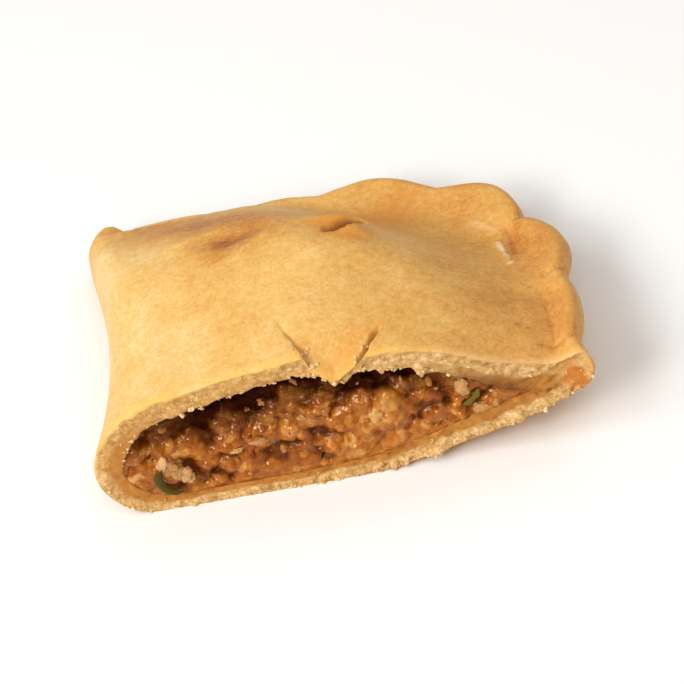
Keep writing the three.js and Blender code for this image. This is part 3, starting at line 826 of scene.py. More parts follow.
# the whole crust: skin of the top and the underside, the rim's edge, the crumbly cut face and the lining of
# the pocket. The cut face is a ring of rows between the outline of the cut and the outline of the mouth
def makeCrust(material):
    c = crustMesh
    sheet = doughSheet
    u = crowdedSamples(c["across"], c["acrossZones"])[:, None]
    v = crowdedSamples(c["deep"], c["deepZones"])[None, :]
    k = np.linspace(0, 1, c["edgeRows"])
    top, topFacts = outerSurface(u, v, 1.0)
    under, underFacts = outerSurface(u, v, 0.0)
    rightEdge = outerSurface(np.ones((1, 1)), v.reshape(-1, 1), k[None, :])[0]
    backEdge = outerSurface(u, np.ones((1, 1)), k[None, :])[0]

    # once round the outline of the cut: up the edge of the rim, over the top to the fold, back underneath
    loop = np.concatenate([rightEdge[0, :-1], top[:0:-1, 0], under[:, 0]])
    share = np.concatenate([np.ones(c["edgeRows"] - 1), u[:0:-1, 0], u[:, 0]])
    level = np.concatenate([k[:-1], np.ones(c["across"] - 1), np.zeros(c["across"])])
    across = np.arange(c["across"])
    loopTop = np.concatenate([np.full(c["edgeRows"] - 1, -1), across[:0:-1], across])  # samples of the top
    depth = np.linspace(0, 1, c["liningRows"]) ** c["liningCrowd"]
    lining = insideSurface(share[:, None], depth[None, :], level[:, None])

    # the tongue is thinner than the rest of the top layer, so the lining follows only part of its sink
    sunk, tent = tongueAt(lining[..., 0], lining[..., 1])
    thinned = topFacts["high"][:, 0].max() - lining[:, 0, 2].max() - sheet["tongueThick"]
    lower = np.maximum(0, sheet["tongueSink"] * sunk + sheet["tongueDroop"] * tent - thinned * sunk)
    lining[..., 2] -= lower * level[:, None]
    lining[..., 1] -= (sheet["tongueReach"] - sheet["tipThick"]) * tent * level[:, None]

    row = np.linspace(0, 1, c["crumbRows"])[None, :]
    ring = mix(loop[:, None, :], lining[:, None, 0, :], row[..., None])
    ragged = softNoise(ring, c["raggedSize"], noiseSeeds["ragged"])
    dent = roughenCut(ring, row, level)
    move = (ring[:, -1] - lining[:, 0])[:, None, :]
    follow = 1 - softStep(np.linspace(0, 1, c["liningRows"]) / c["liningEase"])
    lining = lining + move * follow[None, :, None]

    # looks of each grid, and zero where nothing is said. The material adds mottling to the tone, so half
    # of the mottling's swing is taken off
    skin = skinLooks(top, topFacts)
    edgeTone, edgeGlow = (skin[name][loopTop, 0][:, None] for name in ("tone", "glow"))
    cutFace = cutLooks(ring, row, level, share, ragged, dent, edgeTone, edgeGlow)
    underCut = 1 - softStep(underFacts["behindCut"] / c["underCut"])
    # painted shade: the roof of the pocket darkens behind the lip, and the lining carries on the shade at the
    # mouth
    hollow = np.where(level < 0.5, 0.0, 1.0)[:, None] * softStep(depth / c["hollowDepth"])[None, :]
    edge = {"tone": baking["atRim"]}
    inside = {"cut": 1.0, "soak": 1.0, "dark": np.maximum(hollow, cutFace["dark"][:, -1:])}
    grids = [top, under[::-1], rightEdge, backEdge[::-1], ring, lining]
    looks = [skin, {"tone": c["underTone"], "cut": underCut[::-1]}, edge, edge, cutFace, inside]
    attributes = {}
    for name in doughLooks:
        parts = zip(looks, grids)
        attributes[name] = [np.broadcast_to(look.get(name, 0.0), grid.shape[:2]) for look, grid in parts]
    middle = sum(swing for size, swing in baking["mottling"]) / 2
    attributes["tone"] = [part - middle for part in attributes["tone"]]

    points, faces, attributes = weldGrids(grids, attributes)
    piece = addPiece("crust_baked", points + drawingShift, faces, material, attributes)
    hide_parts("crust")
    return ring, level, top


# The filling

fillingMesh = {
    "across": 340,
    "front": 110,
    "deep": 14,
    "clearance": -0.1,  # it sits a little way into the dough
    "recess": (0.1, 0.3),  # mm behind the cut along the floor, at the ends and in the middle
    "lean": (3.0, 8.0),  # mm farther back at the roof, at the right end and elsewhere
    "leanBend": 1.7,
    "gap": 4.2,  # mm under the roof at the front
    "fade": 0.35,  # share of the depth over which the gap closes
    "closing": (0.72, 0.14),  # from this share of the width to the right the gap closes, over this share
    "closingLeft": 0.2,  # and up to this share at the left
    "ends": (0.06, 0.25),  # shares of the width over which the front flattens, left and right
    "reliefEnds": (0.015, 0.12),  # and over which its relief sets in
    "rims": (0.08, 0.12),  # shares of the height over which the relief sets in, at the floor and the roof
    # size and relief of the grains in mm, and the share of them that is onion
    "grains": ((4.8, 1.5, 0.0), (2.6, 0.55, 0.05), (1.4, 0.14, 0.12)),
    "grainSeeds": 10,  # how far apart the seeds of the sizes are
    "grainHeights": (0.3, 1.4),  # lowest share of the relief that a grain has, and how much more it may have
    "grainDraws": 7,  # turns the draw of a grain into a second one
    "ripples": ((7.0, 0.9), (1.2, 0.24), (2.3, 0.45), (0.6, 0.07)),
    "toneMiddle": 0.34,
    "reliefPaintedLight": 0.16,  # painted light on lumps and painted shade in crevices, for each mm that a lump stands out
    "toneGrain": 0.22,  # how much the grains differ
    "onion": 0.22,  # grains of onion are paler by this tone
    "crevice": 0.9,  # painted shade: below the middle of the relief it darkens, over so many mm
    "creviceShade": 0.75,  # by this share
    "darker": (0.42, 0.16, 0.04),  # round this share of the width, over this share, by this tone
    "shade": (0.39, 0.38),  # painted shade: the front darkens from this share of its height, over this share, under the roof
    "shadeRelief": 0.12,  # painted shade reaches lumps higher up
    "shadeRight": 0.3,  # share of the shade that is left where the gap is closed
    "foot": (0.16, 0.18),  # along the floor, up to this share of the height, it is paler by this tone
}


# place in the filling: a from left to right, b from front to back, k upwards. It follows the pocket, leaves
# a gap under the roof at the front, and its front leans back. Also tells how open the gap is, from 0 to 1
def fillingPlace(a, b, k):
    f = fillingMesh
    a, b, k = np.broadcast_arrays(a, b, k)
    near = 1 - softStep(b / f["fade"])
    openShare = softStep(a / f["closingLeft"]) * (1 - rise(a, *f["closing"]))
    ends = softStep(a / f["ends"][0]) * softStep((1 - a) / f["ends"][1])
    high = np.clip((k - 0.5) * ends + 0.5, 0, 1)
    shift = (mix(*f["recess"], ends) + mix(*f["lean"], openShare) * high ** f["leanBend"] * ends) * near
    deeper = np.clip(b + shift / (pocket["back"] * planDepth), 0, 1)
    place = insideSurface(a, deeper, k, f["clearance"], f["clearance"], f["gap"] * near * openShare)
    return place, openShare


# filling: a closed body that fills the pocket. Packed grains and ripples stand out of its front along the
# normal, with painted light and shade in the tone: dark crevices, pale tops, and a darker top under the roof
def makeFilling(material):
    f = fillingMesh
    a = np.linspace(0, 1, f["across"])[:, None]
    b = np.linspace(0, 1, f["deep"])[None, :]
    k = np.linspace(0, 1, f["front"])[None, :]
    front, openShare = fillingPlace(a, np.zeros((1, 1)), k)
    roof = fillingPlace(a, b, np.ones((1, 1)))[0]
    floor = fillingPlace(a[::-1], b, np.zeros((1, 1)))[0]

    relief = layeredNoise(front, f["ripples"], noiseSeeds["ripples"])
    tone = np.full(front.shape[:2], f["toneMiddle"])
    least, more = f["grainHeights"]
    for n, (size, height, onion) in enumerate(f["grains"]):
        domes, draw = grainDomes(front, size, noiseSeeds["grains"] + f["grainSeeds"] * n)
        relief += height * (domes ** 2 - 0.5) * (least + more * draw)
        other = np.mod(draw * f["grainDraws"], 1)
        tone += f["toneGrain"] * (other - 0.5) + f["onion"] * (other > 1 - onion)
    relief *= softStep(a / f["reliefEnds"][0]) * softStep((1 - a) / f["reliefEnds"][1])
    relief *= softStep(k / f["rims"][0]) * softStep((1 - k) / f["rims"][1])
    normal = np.cross(np.gradient(front, axis=0), np.gradient(front, axis=1))
    normal /= np.maximum(np.linalg.norm(normal, axis=-1, keepdims=True), 1e-9)

    footHeight, footTone = f["foot"]
    darkMiddle, darkWidth, darkTone = f["darker"]
    tone += f["reliefPaintedLight"] * relief + footTone * (1 - softStep(k / footHeight))
    tone -= darkTone * np.exp(-((a - darkMiddle) / darkWidth) ** 2)
    # painted shade under the roof and in the crevices
    shade = rise(k - f["shadeRelief"] * relief, *f["shade"]) * mix(f["shadeRight"], 1, openShare)
    shade = np.maximum(shade, f["creviceShade"] * softStep(-relief / f["crevice"]))
    front = front + normal * relief[..., None]
    hidden = [np.ones(grid.shape[:2]) for grid in (roof, floor)]
    points, faces, attributes = weldGrids([front, roof, floor], {
        "tone": [tone] + [f["toneMiddle"] * part for part in hidden],
        "shade": [shade] + hidden,
    })
    piece = addPiece("filling_body", points + drawingShift, faces, material, attributes)
    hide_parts("filling")
    return front


# Bits and crumbs

# ball of triangles: an icosahedron, whose corners are the turns of (1, golden ratio, 0) with either sign and
# whose faces join corners 2 apart, each triangle split in four as often as asked
def ballMesh(splits):
    golden = (1 + math.sqrt(5)) / 2
    signs = itertools.product((-1, 1), (-1, 1))
    points = np.array([np.roll((a, b * golden, 0), n) for a, b in signs for n in range(3)])
    faces = np.array(list(itertools.combinations(range(len(points)), 3)))
    sides = points[faces] - np.roll(points[faces], -1, axis=1)
    faces = faces[np.isclose(np.linalg.norm(sides, axis=-1), 2).all(axis=1)]
    inward = np.linalg.det(points[faces]) < 0
    faces[inward] = faces[inward][:, ::-1]
    for n in range(splits):
        corners = points[faces]
        middles = (corners + np.roll(corners, -1, axis=1)) / 2
        a, b, c = corners.transpose(1, 0, 2)
        ab, bc, ca = middles.transpose(1, 0, 2)
        parts = ((a, ab, ca), (ab, b, bc), (ca, bc, c), (ab, bc, ca))
        every = np.concatenate([np.stack(part, axis=1) for part in parts])
        points, index = np.unique(np.round(every.reshape(-1, 3), 6), axis=0, return_inverse=True)
        faces = index.reshape(-1, 3)
    return points / np.linalg.norm(points, axis=1, keepdims=True), faces


# turns for many bits at once, from random quaternions
def randomTurns(rng, count):
    q = rng.normal(size=(count, 4))
    w, x, y, z = (q / np.linalg.norm(q, axis=1, keepdims=True)).T
    return np.stack([
        np.stack([1 - 2 * (y * y + z * z), 2 * (x * y - z * w), 2 * (x * z + y * w)], axis=-1),
        np.stack([2 * (x * y + z * w), 1 - 2 * (x * x + z * z), 2 * (y * z - x * w)], axis=-1),
        np.stack([2 * (x * z - y * w), 2 * (y * z + x * w), 1 - 2 * (x * x + y * y)], axis=-1),
    ], axis=1)


bitNoise = ((0.8, 1.0), (0.4, 0.5), (0.2, 0.25))  # size, as a share of the radius, and share of the lumps
bitSpread = 900  # each bit takes its noise from another place, up to this far away


# many bits in one piece: a ball stretched by its three radii, made lumpy by noise, turned and put in place
def makeBits(name, places, radii, lumpiness, splits, seed, material, turned=True):
    rng = np.random.default_rng(seed)
    ball, faces = ballMesh(splits)
    count = len(places)
    spots = ball[None] + rng.uniform(-bitSpread, bitSpread, (count, 1, 3))
    lumps = 1 + lumpiness * layeredNoise(spots, bitNoise, seed)
    shaped = ball[None] * lumps[..., None] * radii[:, None, :]
    turns = randomTurns(rng, count) if turned else np.repeat(np.eye(3)[None], count, axis=0)
    points = np.einsum("nij,nvj->nvi", turns, shaped) + places[:, None, :] + drawingShift
    every = (faces[None] + (np.arange(count) * len(ball))[:, None, None]).reshape(-1, 3)
    tone = np.repeat(rng.uniform(0, 1, count), len(ball))
    addPiece(name, points.reshape(-1, 3), every.tolist(), material, {"tone": tone})


# bits of the filling: how many, radii in mm, how flat, how lumpy, how much of a bit stands out of the front
fillingBits = {
    "mince": {"count": 36, "radius": (0.5, 1.3), "flat": 0.8, "lumpy": 0.3, "out": 0.03, "seed": 5},
    "onion": {"count": 8, "radius": (0.35, 0.8), "flat": 0.8, "lumpy": 0.15, "out": 0.05, "seed": 6},
    "pepper_red": {"count": 9, "radius": (0.4, 0.9), "flat": 0.5, "lumpy": 0.4, "out": 0.12, "seed": 8},
}
bitScatter = {
    "across": (0.05, 0.86),  # shares of the width and of the height between which bits lie
    "up": (0.04, 0.85),
    "sizeBend": 1.6,  # more small bits than large ones
    "stretch": (1, 1.6),
    "splits": 2,
}
# the few large ones: how lumpy, how far out in mm, and for each its share from left to right, share of the
# height and three radii in mm
largeBits = {
    "chunk": {"lumpy": 0.32, "seed": 41, "out": 0.8, "bits": (
        (0.096, 0.44, 1.3, 1.2, 1.5), (0.108, 0.37, 1.6, 1.4, 1.7), (0.124, 0.3, 1.6, 1.4, 1.5),
        (0.14, 0.25, 1.5, 1.4, 1.5), (0.15, 0.19, 1.2, 1.1, 1.2), (0.335, 0.4, 1.9, 0.8, 0.7),
    )},
    "onion": {"lumpy": 0.4, "seed": 43, "out": 0.3, "bits": (
        (0.837, 0.7, 1.5, 1.0, 1.9), (0.866, 0.1, 1.5, 1.0, 1.3), (0.904, 0.25, 0.65, 0.6, 0.65),
        (0.272, 0.345, 1.2, 0.6, 0.4), (0.448, 0.5, 0.9, 0.6, 0.5), (0.63, 0.42, 0.8, 0.6, 0.5),
    )},
}
largeSplits = 4


# place on the front of the filling at a share of its width and its height
def onFront(front, a, k):
    rows, columns = front.shape[:2]
    row = (np.asarray(a) * (rows - 1)).astype(int)
    column = (np.asarray(k) * (columns - 1)).astype(int)
    return front[row, column].copy()


# small bits lie where a draw puts them on the front, pushed out along -y by a share of the radius, and the
# large ones have places of their own
def makeFillingBits(front, materials):
    s = bitScatter
    for name, bit in fillingBits.items():
        rng = np.random.default_rng(bit["seed"])
        count = bit["count"]
        places = onFront(front, rng.uniform(*s["across"], count), rng.uniform(*s["up"], count))
        size = mix(*bit["radius"], rng.uniform(0, 1, count) ** s["sizeBend"])
        places[:, 1] -= size * (2 * bit["out"] - 1)
        stretch = [rng.uniform(*s["stretch"], count), np.ones(count), np.full(count, bit["flat"])]
        radii = size[:, None] * np.stack(stretch, axis=-1)
        makeBits("filling_" + name, places, radii, bit["lumpy"], s["splits"], bit["seed"], materials[name])
    for name, large in largeBits.items():
        bits = np.array(large["bits"])
        places = onFront(front, bits[:, 0], bits[:, 1])
        places[:, 1] -= large["out"]
        makeBits("filling_large_" + name, places, bits[:, 2:], large["lumpy"], largeSplits, large["seed"],
                 materials[name], turned=False)


pepperStrips = {
    # share from left to right, share of the height, radius of the arc, its first and last angle in degrees,
    # width and thickness in mm, tone
    "strips": (
        (0.084, 0.225, 3.6, 130, 280, 1.9, 1.2, 0.1),
        (0.854, 0.4, 5.0, 283, 347, 1.3, 0.8, 0.9),
        (0.485, 0.1, 2.5, 80, 125, 0.9, 0.5, 0.5),
    ),
    "rows": 19,
    "round": 13,
    "taperBend": 0.4,
    "uneven": (1.1, 0.3),  # size and swing
}


# strips of pepper: an ellipse swept along an arc in the front of the filling, narrowing to points at its ends
def makeStrips(front, material):
    p = pepperStrips
    t = np.linspace(0, 1, p["rows"])[:, None]
    turn = np.linspace(2 * math.pi, 0, p["round"])[None, :]
    taper = np.sin(math.pi * t) ** p["taperBend"]
    taper[-1] = 0  # the sine leaves a trace here
    unevenSize, unevenSwing = p["uneven"]
    grids = []
    tones = []
    for a, k, radius, first, last, width, thick, tone in p["strips"]:
        angle = np.radians(mix(first, last, t))
        half = math.radians((first + last) / 2)
        reach = radius + taper * width / 2 * np.cos(turn)
        offset = np.stack([reach * np.cos(angle) - radius * math.cos(half),
                           -thick + taper * thick / 2 * np.sin(turn),
                           reach * np.sin(angle) - radius * math.sin(half)], axis=-1)
        strip = onFront(front, a, k) + offset
        uneven = unevenSwing * softNoise(strip[1:-1, :-1], unevenSize, noiseSeeds["strip"])
        strip[1:-1, :-1, 1:] += uneven[..., None]
        strip[:, -1] = strip[:, 0]
        grids.append(strip)
        tones.append(np.full(strip.shape[:2], tone))
    points, faces, attributes = weldGrids(grids, {"tone": tones})
    addPiece("filling_pepper_green", points + drawingShift, faces, material, attributes)


crumbs = {
    "onLip": 70,  # along the lower edge of the top crust
    "lipEnd": 26,  # x up to which crumbs hang there
    "lipRows": 3,  # rows of the cut face that count as this edge
    "onBase": 90,  # along the lower edge of the cut
    "baseRows": 5,
    "onFace": 30,
    "faceFrom": 3,  # row
    "out": 0.2,  # mm
    "radius": (0.12, 0.42),
    "sizeBend": 2,  # more small crumbs than large ones
    "stretch": (0.7, 1.3),
    "lumpy": 0.8,
    "splits": 1,
    "patches": (  # x, y, spread, count
        (-1.2, -29.6, 0.8, 16),
        (0.6, -32.4, 0.6, 8),
        (11.5, -27.5, 0.6, 6),
        (9.8, -31, 0.6, 10),
        (4.8, -33.9, 0.3, 5),
    ),
    "seed": 21,
}


# crumbs: small lumps along the edges of the cut and beside the slits, where draws put them
def makeCrumbs(ring, level, top, material):
    c = crumbs
    rng = np.random.default_rng(c["seed"])
    upper = np.nonzero((level > 0.5) & (ring[:, -1, 0] < c["lipEnd"]))[0]
    lower = np.nonzero(level < 0.5)[0]
    last = ring.shape[1] - 1
    places = np.concatenate([
        ring[rng.choice(upper, c["onLip"]), last - rng.integers(0, c["lipRows"], c["onLip"])],
        ring[rng.choice(lower, c["onBase"]), rng.integers(0, c["baseRows"], c["onBase"])],
        ring[rng.integers(0, len(level), c["onFace"]), rng.integers(c["faceFrom"], last, c["onFace"])],
    ])
    places[:, 1] -= rng.uniform(0, c["out"], len(places))
    skin = top.reshape(-1, 3)
    for x, y, spread, count in c["patches"]:
        spots = rng.normal((x, y), spread, (count, 2))
        near = np.argmin(np.linalg.norm(skin[None, :, :2] - spots[:, None, :], axis=-1), axis=1)
        places = np.append(places, skin[near], axis=0)
    size = mix(*c["radius"], rng.uniform(0, 1, len(places)) ** c["sizeBend"])
    radii = size[:, None] * rng.uniform(*c["stretch"], (len(places), 3))
    makeBits("crumbs", places, radii, c["lumpy"], c["splits"], c["seed"], material)


# Materials

doughFinish = {
    "skin": (
        (0.0, "f0cb90"), (0.22, "e6b768"), (0.45, "d99e4c"),
        (0.65, "c9853c"), (0.85, "ac662c"), (1.0, "7e4218"),
    ),
    # crumb and cream run from grains to pits: painted light on the grains, painted shade in the pits
    "crumb": ((0.04, "e8c084"), (0.12, "cc9a56"), (0.24, "a8783c")),  # from grains to pits
    "cream": ((0.04, "f8e0b2"), (0.12, "dcb274"), (0.24, "ac7e40")),
    "fat": ((0.3, "a0601c"), (0.7, "c08238")),
    # stain is the orange of fat; glow and pale are partly painted highlights, on the rolled edge and the
    # pinch ridges
    "layers": (("stain", "d8872f", 0.75), ("glow", "efb54c", 0.7), ("pale", "f7e6c4", 0.9)),  # strength last
    # colour of the painted shade in slits, in the pocket's roof and towards the mouth
    "hollow": "431706",
    "mottleDetail": 3,
    "poreSize": 0.9,  # mm
    "poreDetail": 2.0,
    "poreRoughness": 0.75,
    "poreMiddle": 0.12,  # pits are deeper than this, grains stand out
    "poreDepth": 9.0,
    "fineShare": 0.6,  # of the finest mottling in the relief
    "relief": 0.4,  # mm
    "reliefStrength": 0.22,
    "roughness": 0.58,
    "roughCrumb": 0.25,  # rougher by this on the cut
    "specular": 0.3,
}


# baked shortcrust: a dry skin that is pale gold and toasts to orange brown, finely mottled, over a pale,
# grainy crumb that turns orange where fat has soaked in
def bakedDough():
    d = doughFinish
    material, tree = newMaterial("baked_shortcrust")
    place = addNode(tree, "ShaderNodeTexCoord", "Object")
    looks = {}
    for name in doughLooks:
        looks[name] = addNode(tree, "ShaderNodeAttribute", "Fac", {"attribute_name": name})

    # browning: the attribute and three sizes of mottling added up
    tone = looks["tone"]
    mottling = []
    for size, swing in baking["mottling"]:
        values = {"Scale": 1 / (size * mm), "Detail": d["mottleDetail"]}
        noise = addNode(tree, "ShaderNodeTexNoise", "Fac", values=values, links={"Vector": place})
        tone = addNode(tree, "ShaderNodeMath", 0, multiplyAdd, {1: swing}, {0: noise, 2: tone})
        mottling.append(noise)
    skin = addNode(tree, "ShaderNodeValToRGB", "Color", links={"Fac": tone}, stops=d["skin"])

    # crumb: cells of grains with painted light and darker pits with painted shade, and the orange of soaked
    # dough
    values = {"Scale": 1 / (d["poreSize"] * mm), "Detail": d["poreDetail"], "Roughness": d["poreRoughness"]}
    cells = addNode(tree, "ShaderNodeTexVoronoi", "Distance", {"normalize": True}, values, {"Vector": place})
    pits = addNode(tree, "ShaderNodeMath", 0, multiply, links={0: cells, 1: mottling[1]})
    crumb = addNode(tree, "ShaderNodeValToRGB", "Color", links={"Fac": pits}, stops=d["crumb"])
    cream = addNode(tree, "ShaderNodeValToRGB", "Color", links={"Fac": pits}, stops=d["cream"])
    fat = addNode(tree, "ShaderNodeValToRGB", "Color", links={"Fac": mottling[1]}, stops=d["fat"])

    # layers, one over the other
    for name, code, strength in d["layers"]:
        share = addNode(tree, "ShaderNodeMath", 0, multiply, {1: strength}, {0: looks[name]})
        skin = addNode(tree, "ShaderNodeMix", 2, blend, {7: colour(code)}, {0: share, 6: skin})
    crumb = addNode(tree, "ShaderNodeMix", 2, blend, links={0: looks["pale"], 6: crumb, 7: cream})
    crumb = addNode(tree, "ShaderNodeMix", 2, blend, links={0: looks["soak"], 6: crumb, 7: fat})
    face = addNode(tree, "ShaderNodeMix", 2, blend, links={0: looks["cut"], 6: skin, 7: crumb})
    # painted shade in slits and hollows
    face = addNode(tree, "ShaderNodeMix", 2, blend, {7: colour(d["hollow"])}, {0: looks["dark"], 6: face})

    # relief: mottling on the skin, and pits in the cut as well
    middle, fine = mottling[1:]
    height = addNode(tree, "ShaderNodeMath", 0, multiplyAdd, {1: d["fineShare"]}, {0: fine, 2: middle})
    deeper = addNode(tree, "ShaderNodeMath", 0, {"operation": "SUBTRACT"}, {1: d["poreMiddle"]}, {0: pits})
    deeper = addNode(tree, "ShaderNodeMath", 0, multiply, links={0: deeper, 1: looks["cut"]})
    height = addNode(tree, "ShaderNodeMath", 0, multiplyAdd, {1: -d["poreDepth"]}, {0: deeper, 2: height})
    values = {"Strength": d["reliefStrength"], "Distance": d["relief"] * mm}
    normal = addNode(tree, "ShaderNodeBump", "Normal", values=values, links={"Height": height})
    values = {1: d["roughCrumb"], 2: d["roughness"]}
    rough = addNode(tree, "ShaderNodeMath", 0, multiplyAdd, values, {0: looks["cut"]})
    values = {"Specular IOR Level": d["specular"]}
    links = {"Base Color": face, "Roughness": rough, "Normal": normal}
    shader = addNode(tree, "ShaderNodeBsdfPrincipled", "BSDF", values=values, links=links)
    addNode(tree, "ShaderNodeOutputMaterial", links={"Surface": shader})
    return material


# what all the moist pieces share
moistFinish = {
    "toneShare": 0.6,  # of a bit's own tone
    "fibreShare": 0.5,  # and of the fibres in the colour
    "fibreDetail": 4,
    "fibreRoughness": 0.6,
    # colour of the painted shade
    "shade": "361003",
    "shadeDull": 0.95,  # share of the wetness that is lost in the painted shade
    "relief": 0.3,  # mm
    "reliefStrength": 0.2,
    "ior": 1.45,
    "highlight": "ffdab2",  # fat tints the highlights
    "bleed": (2, 1, 0.5),  # mm that red, green and blue light goes into it
}


# moist food: colours between the stops by the piece's own tone and a fine noise, wet and glossy. The body of
# the filling also has painted shade, which makes it darker and duller under the roof and in its crevices
def moistFood(name, stops, fibre, roughness, subsurface=0.0, wetness=0.75, shaded=False):
    m = moistFinish
    material, tree = newMaterial(name)
    place = addNode(tree, "ShaderNodeTexCoord", "Object")
    own = addNode(tree, "ShaderNodeAttribute", "Fac", {"attribute_name": "tone"})
    values = {"Scale": 1 / (fibre * mm), "Detail": m["fibreDetail"], "Roughness": m["fibreRoughness"]}
    fibres = addNode(tree, "ShaderNodeTexNoise", "Fac", values=values, links={"Vector": place})
    tone = addNode(tree, "ShaderNodeMath", 0, multiply, {1: m["toneShare"]}, {0: own})
    tone = addNode(tree, "ShaderNodeMath", 0, multiplyAdd, {1: m["fibreShare"]}, {0: fibres, 2: tone})
    face = addNode(tree, "ShaderNodeValToRGB", "Color", links={"Fac": tone}, stops=stops)
    values = {"Strength": m["reliefStrength"], "Distance": m["relief"] * mm}
    links = {"Normal": addNode(tree, "ShaderNodeBump", "Normal", values=values, links={"Height": fibres})}
    if shaded:
        shade = addNode(tree, "ShaderNodeAttribute", "Fac", {"attribute_name": "shade"})
        face = addNode(tree, "ShaderNodeMix", 2, blend, {7: colour(m["shade"])}, {0: shade, 6: face})
        values = {1: -m["shadeDull"] * wetness, 2: wetness}
        links["Specular IOR Level"] = addNode(tree, "ShaderNodeMath", 0, multiplyAdd, values, {0: shade})
    links["Base Color"] = face
    values = {
        "Roughness": roughness, "IOR": m["ior"], "Specular IOR Level": wetness,
        "Specular Tint": colour(m["highlight"]), "Subsurface Weight": subsurface,
        "Subsurface Radius": [depth * mm for depth in m["bleed"]], "Subsurface Scale": 1.0,
    }
    shader = addNode(tree, "ShaderNodeBsdfPrincipled", "BSDF", values=values, links=links)
    addNode(tree, "ShaderNodeOutputMaterial", links={"Surface": shader})
    return material


crumbFinish = {
    "stops": ((0.0, "cf9f58"), (0.6, "e2bb7c"), (1.0, "f1d6a2")),
    "roughness": 0.85,
    "specular": 0.25,
}


# pale crumb of shortcrust, dry, each crumb in its own tone
def dryCrumb():
    c = crumbFinish
    material, tree = newMaterial("dry_crumb")
    tone = addNode(tree, "ShaderNodeAttribute", "Fac", {"attribute_name": "tone"})
    face = addNode(tree, "ShaderNodeValToRGB", "Color", links={"Fac": tone}, stops=c["stops"])
    values = {"Roughness": c["roughness"], "Specular IOR Level": c["specular"]}
    shader = addNode(tree, "ShaderNodeBsdfPrincipled", "BSDF", values=values, links={"Base Color": face})
    addNode(tree, "ShaderNodeOutputMaterial", links={"Surface": shader})
    return material


doughMaterial = bakedDough()
# name, colours from dark to pale, size of the fibres in mm, roughness, and how much light goes into it
fillingMaterials = {
    # meat in an orange brown sauce that leaves it wet
    "sauce": moistFood("mince_in_sauce", (
        (0.15, "6a2a04"), (0.4, "944a0a"), (0.62, "b46a1a"), (0.9, "d09a54")), 1.3, 0.12, 0.3, shaded=True),
    # browned grains, as wet
    "mince": moistFood("cooked_mince", ((0.25, "7a3a0c"), (0.5, "a25c1c"), (0.9, "bc8240")), 0.9, 0.14, 0.3),
    # stewed until much light goes into it
    "onion": moistFood("soft_onion", ((0.2, "a06a2e"), (0.9, "c89a60")), 1.2, 0.15, 0.5),
    # boiled and pale, with a softer gloss
    "chunk": moistFood("pale_chunk", ((0.2, "a87038"), (0.5, "c08a50"), (0.8, "d6a670")), 0.9, 0.3, 0.3),
    # cooked to a dark red brown, its skin keeps light out
    "pepper_red": moistFood("cooked_red_pepper", ((0.2, "6a1a04"), (0.9, "92380e")), 1.2, 0.2),
    # cooked to an olive green, nearly dull
    "pepper_green": moistFood("cooked_green_pepper", (
        (0.3, "4a3c0c"), (0.8, "6c5c22")), 0.8, 0.3, wetness=0.2),
}
crumbMaterial = dryCrumb()
print("materials made")

ring, level, top = makeCrust(doughMaterial)
front = makeFilling(fillingMaterials["sauce"])
makeFillingBits(front, fillingMaterials)
makeStrips(front, fillingMaterials["pepper_green"])
makeCrumbs(ring, level, top, crumbMaterial)
print("pieces made")


# Camera, light and floor

# the half leans in the photograph, so the camera is turned by that angle about the line from cut to back
camera = {
    "elevation": 46,  # degrees above the plane the half would lie on if it did not lean
    "lean": 10,
    "distance": 817,  # mm
    "photoPixels": 684,
    "photoFocal": 2043.7,  # pixels
    "photoOrigin": (281, 280),  # pixel of the drawing's origin
    "photoMiddle": (281.5, 271),  # pixel that goes to the middle of this picture
    "enlargement": 2.0,
    "sensor": 36,  # mm
    "clip": (0.01, 20),  # metres
}


# puts a lamp or camera in its place in metres, with its own x, y and z along three directions
def placeObject(thing, place, side, up, back):
    turn = Matrix(np.stack([side, up, back], axis=1).tolist())
    thing.matrix_world = Matrix.Translation(place.tolist()) @ turn.to_4x4()
    bpy.context.scene.collection.objects.link(thing)


# camera at the place where the photograph was taken, turned to the half and with a longer lens
def addCamera():
    c = camera
    e, g = math.radians(c["elevation"]), math.radians(c["lean"])
    back = np.array([0, -math.cos(e), math.sin(e)])
    right = np.array([1.0, 0, 0])
    up = np.cross(back, right)
    lean = np.array([[math.cos(g), 0, math.sin(g)], [0, 1, 0], [-math.sin(g), 0, math.cos(g)]])
    right, up, back = lean @ right, lean @ up, lean @ back

    # ways from the camera to two pixels of the photograph, in pixels, with the focal length as their depth
    pixels = np.array([c["photoOrigin"], c["photoMiddle"]]) - c["photoPixels"] / 2
    toOrigin, toMiddle = pixels @ np.stack([right, -up]) - c["photoFocal"] * back
    place = drawingShift - toOrigin * c["distance"] / c["photoFocal"]
    backward = -toMiddle / np.linalg.norm(toMiddle)
    sideways = np.cross(up, backward)
    sideways /= np.linalg.norm(sideways)
    data = bpy.data.cameras.new("camera")
    data.sensor_width = c["sensor"]
    data.lens = c["sensor"] * c["photoFocal"] * c["enlargement"] / c["photoPixels"]
    data.clip_start, data.clip_end = c["clip"]
    taker = bpy.data.objects.new("camera", data)
    placeObject(taker, place * mm, sideways, np.cross(backward, sideways), backward)
    bpy.context.scene.camera = taker


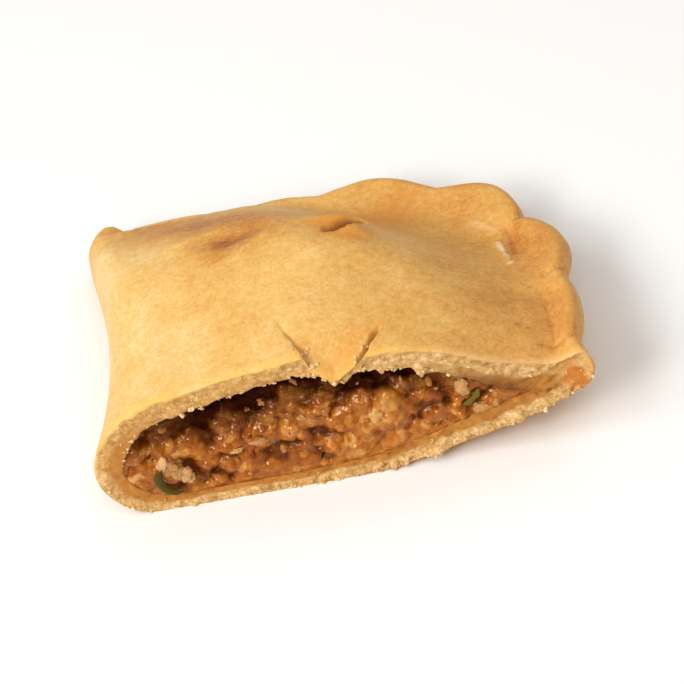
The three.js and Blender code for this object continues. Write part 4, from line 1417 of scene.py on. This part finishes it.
studio = {
    "floorColour": "f4f2ee",
    "floorRoughness": 0.9,
    "floorSize": 6,  # metres
    "lamps": (  # azimuth and elevation in degrees, distance and size in metres, watts
        (-62, 50, 0.9, 0.6, 3.25),
        (-30, 38, 0.9, 0.32, 3.7),  # smaller, for highlights on wet food
        (25, 62, 1.0, 0.8, 1.9),
        (150, 55, 1.1, 0.7, 1.5),
    ),
    "skyColour": "ffffff",
    "skyStrength": 0.4,
}


# round soft lamp that faces the origin
def addLamp(azimuth, elevation, distance, size, watts):
    a, e = math.radians(azimuth), math.radians(elevation)
    back = np.array([math.sin(a) * math.cos(e), -math.cos(a) * math.cos(e), math.sin(e)])
    side = np.cross([0, 0, 1], back)
    side /= np.linalg.norm(side)
    data = bpy.data.lights.new("softbox", "AREA")
    data.shape = "DISK"
    data.size = size
    data.energy = watts
    placeObject(bpy.data.objects.new("softbox", data), back * distance, side, np.cross(back, side), back)


# pale floor, lamps and an even white sky
def addStudio():
    s = studio
    half = s["floorSize"] / 2
    mesh = bpy.data.meshes.new("floor")
    corners = [(-half, -half, 0), (half, -half, 0), (half, half, 0), (-half, half, 0)]
    mesh.from_pydata(corners, [], [(0, 1, 2, 3)])
    material, tree = newMaterial("pale_floor")
    values = {"Base Color": colour(s["floorColour"]), "Roughness": s["floorRoughness"]}
    shader = addNode(tree, "ShaderNodeBsdfPrincipled", "BSDF", values=values)
    addNode(tree, "ShaderNodeOutputMaterial", links={"Surface": shader})
    mesh.materials.append(material)
    floor = bpy.data.objects.new("floor", mesh)
    bpy.context.scene.collection.objects.link(floor)
    for lamp in s["lamps"]:
        addLamp(*lamp)
    world = bpy.data.worlds.new("studio")
    world.use_nodes = True
    sky = world.node_tree.nodes["Background"]
    sky.inputs["Color"].default_value = colour(s["skyColour"])
    sky.inputs["Strength"].default_value = s["skyStrength"]
    bpy.context.scene.world = world
    bpy.context.scene.view_settings.view_transform = "Standard"


addCamera()
addStudio()
print("camera, light and floor set")

bpy.context.view_layer.update()
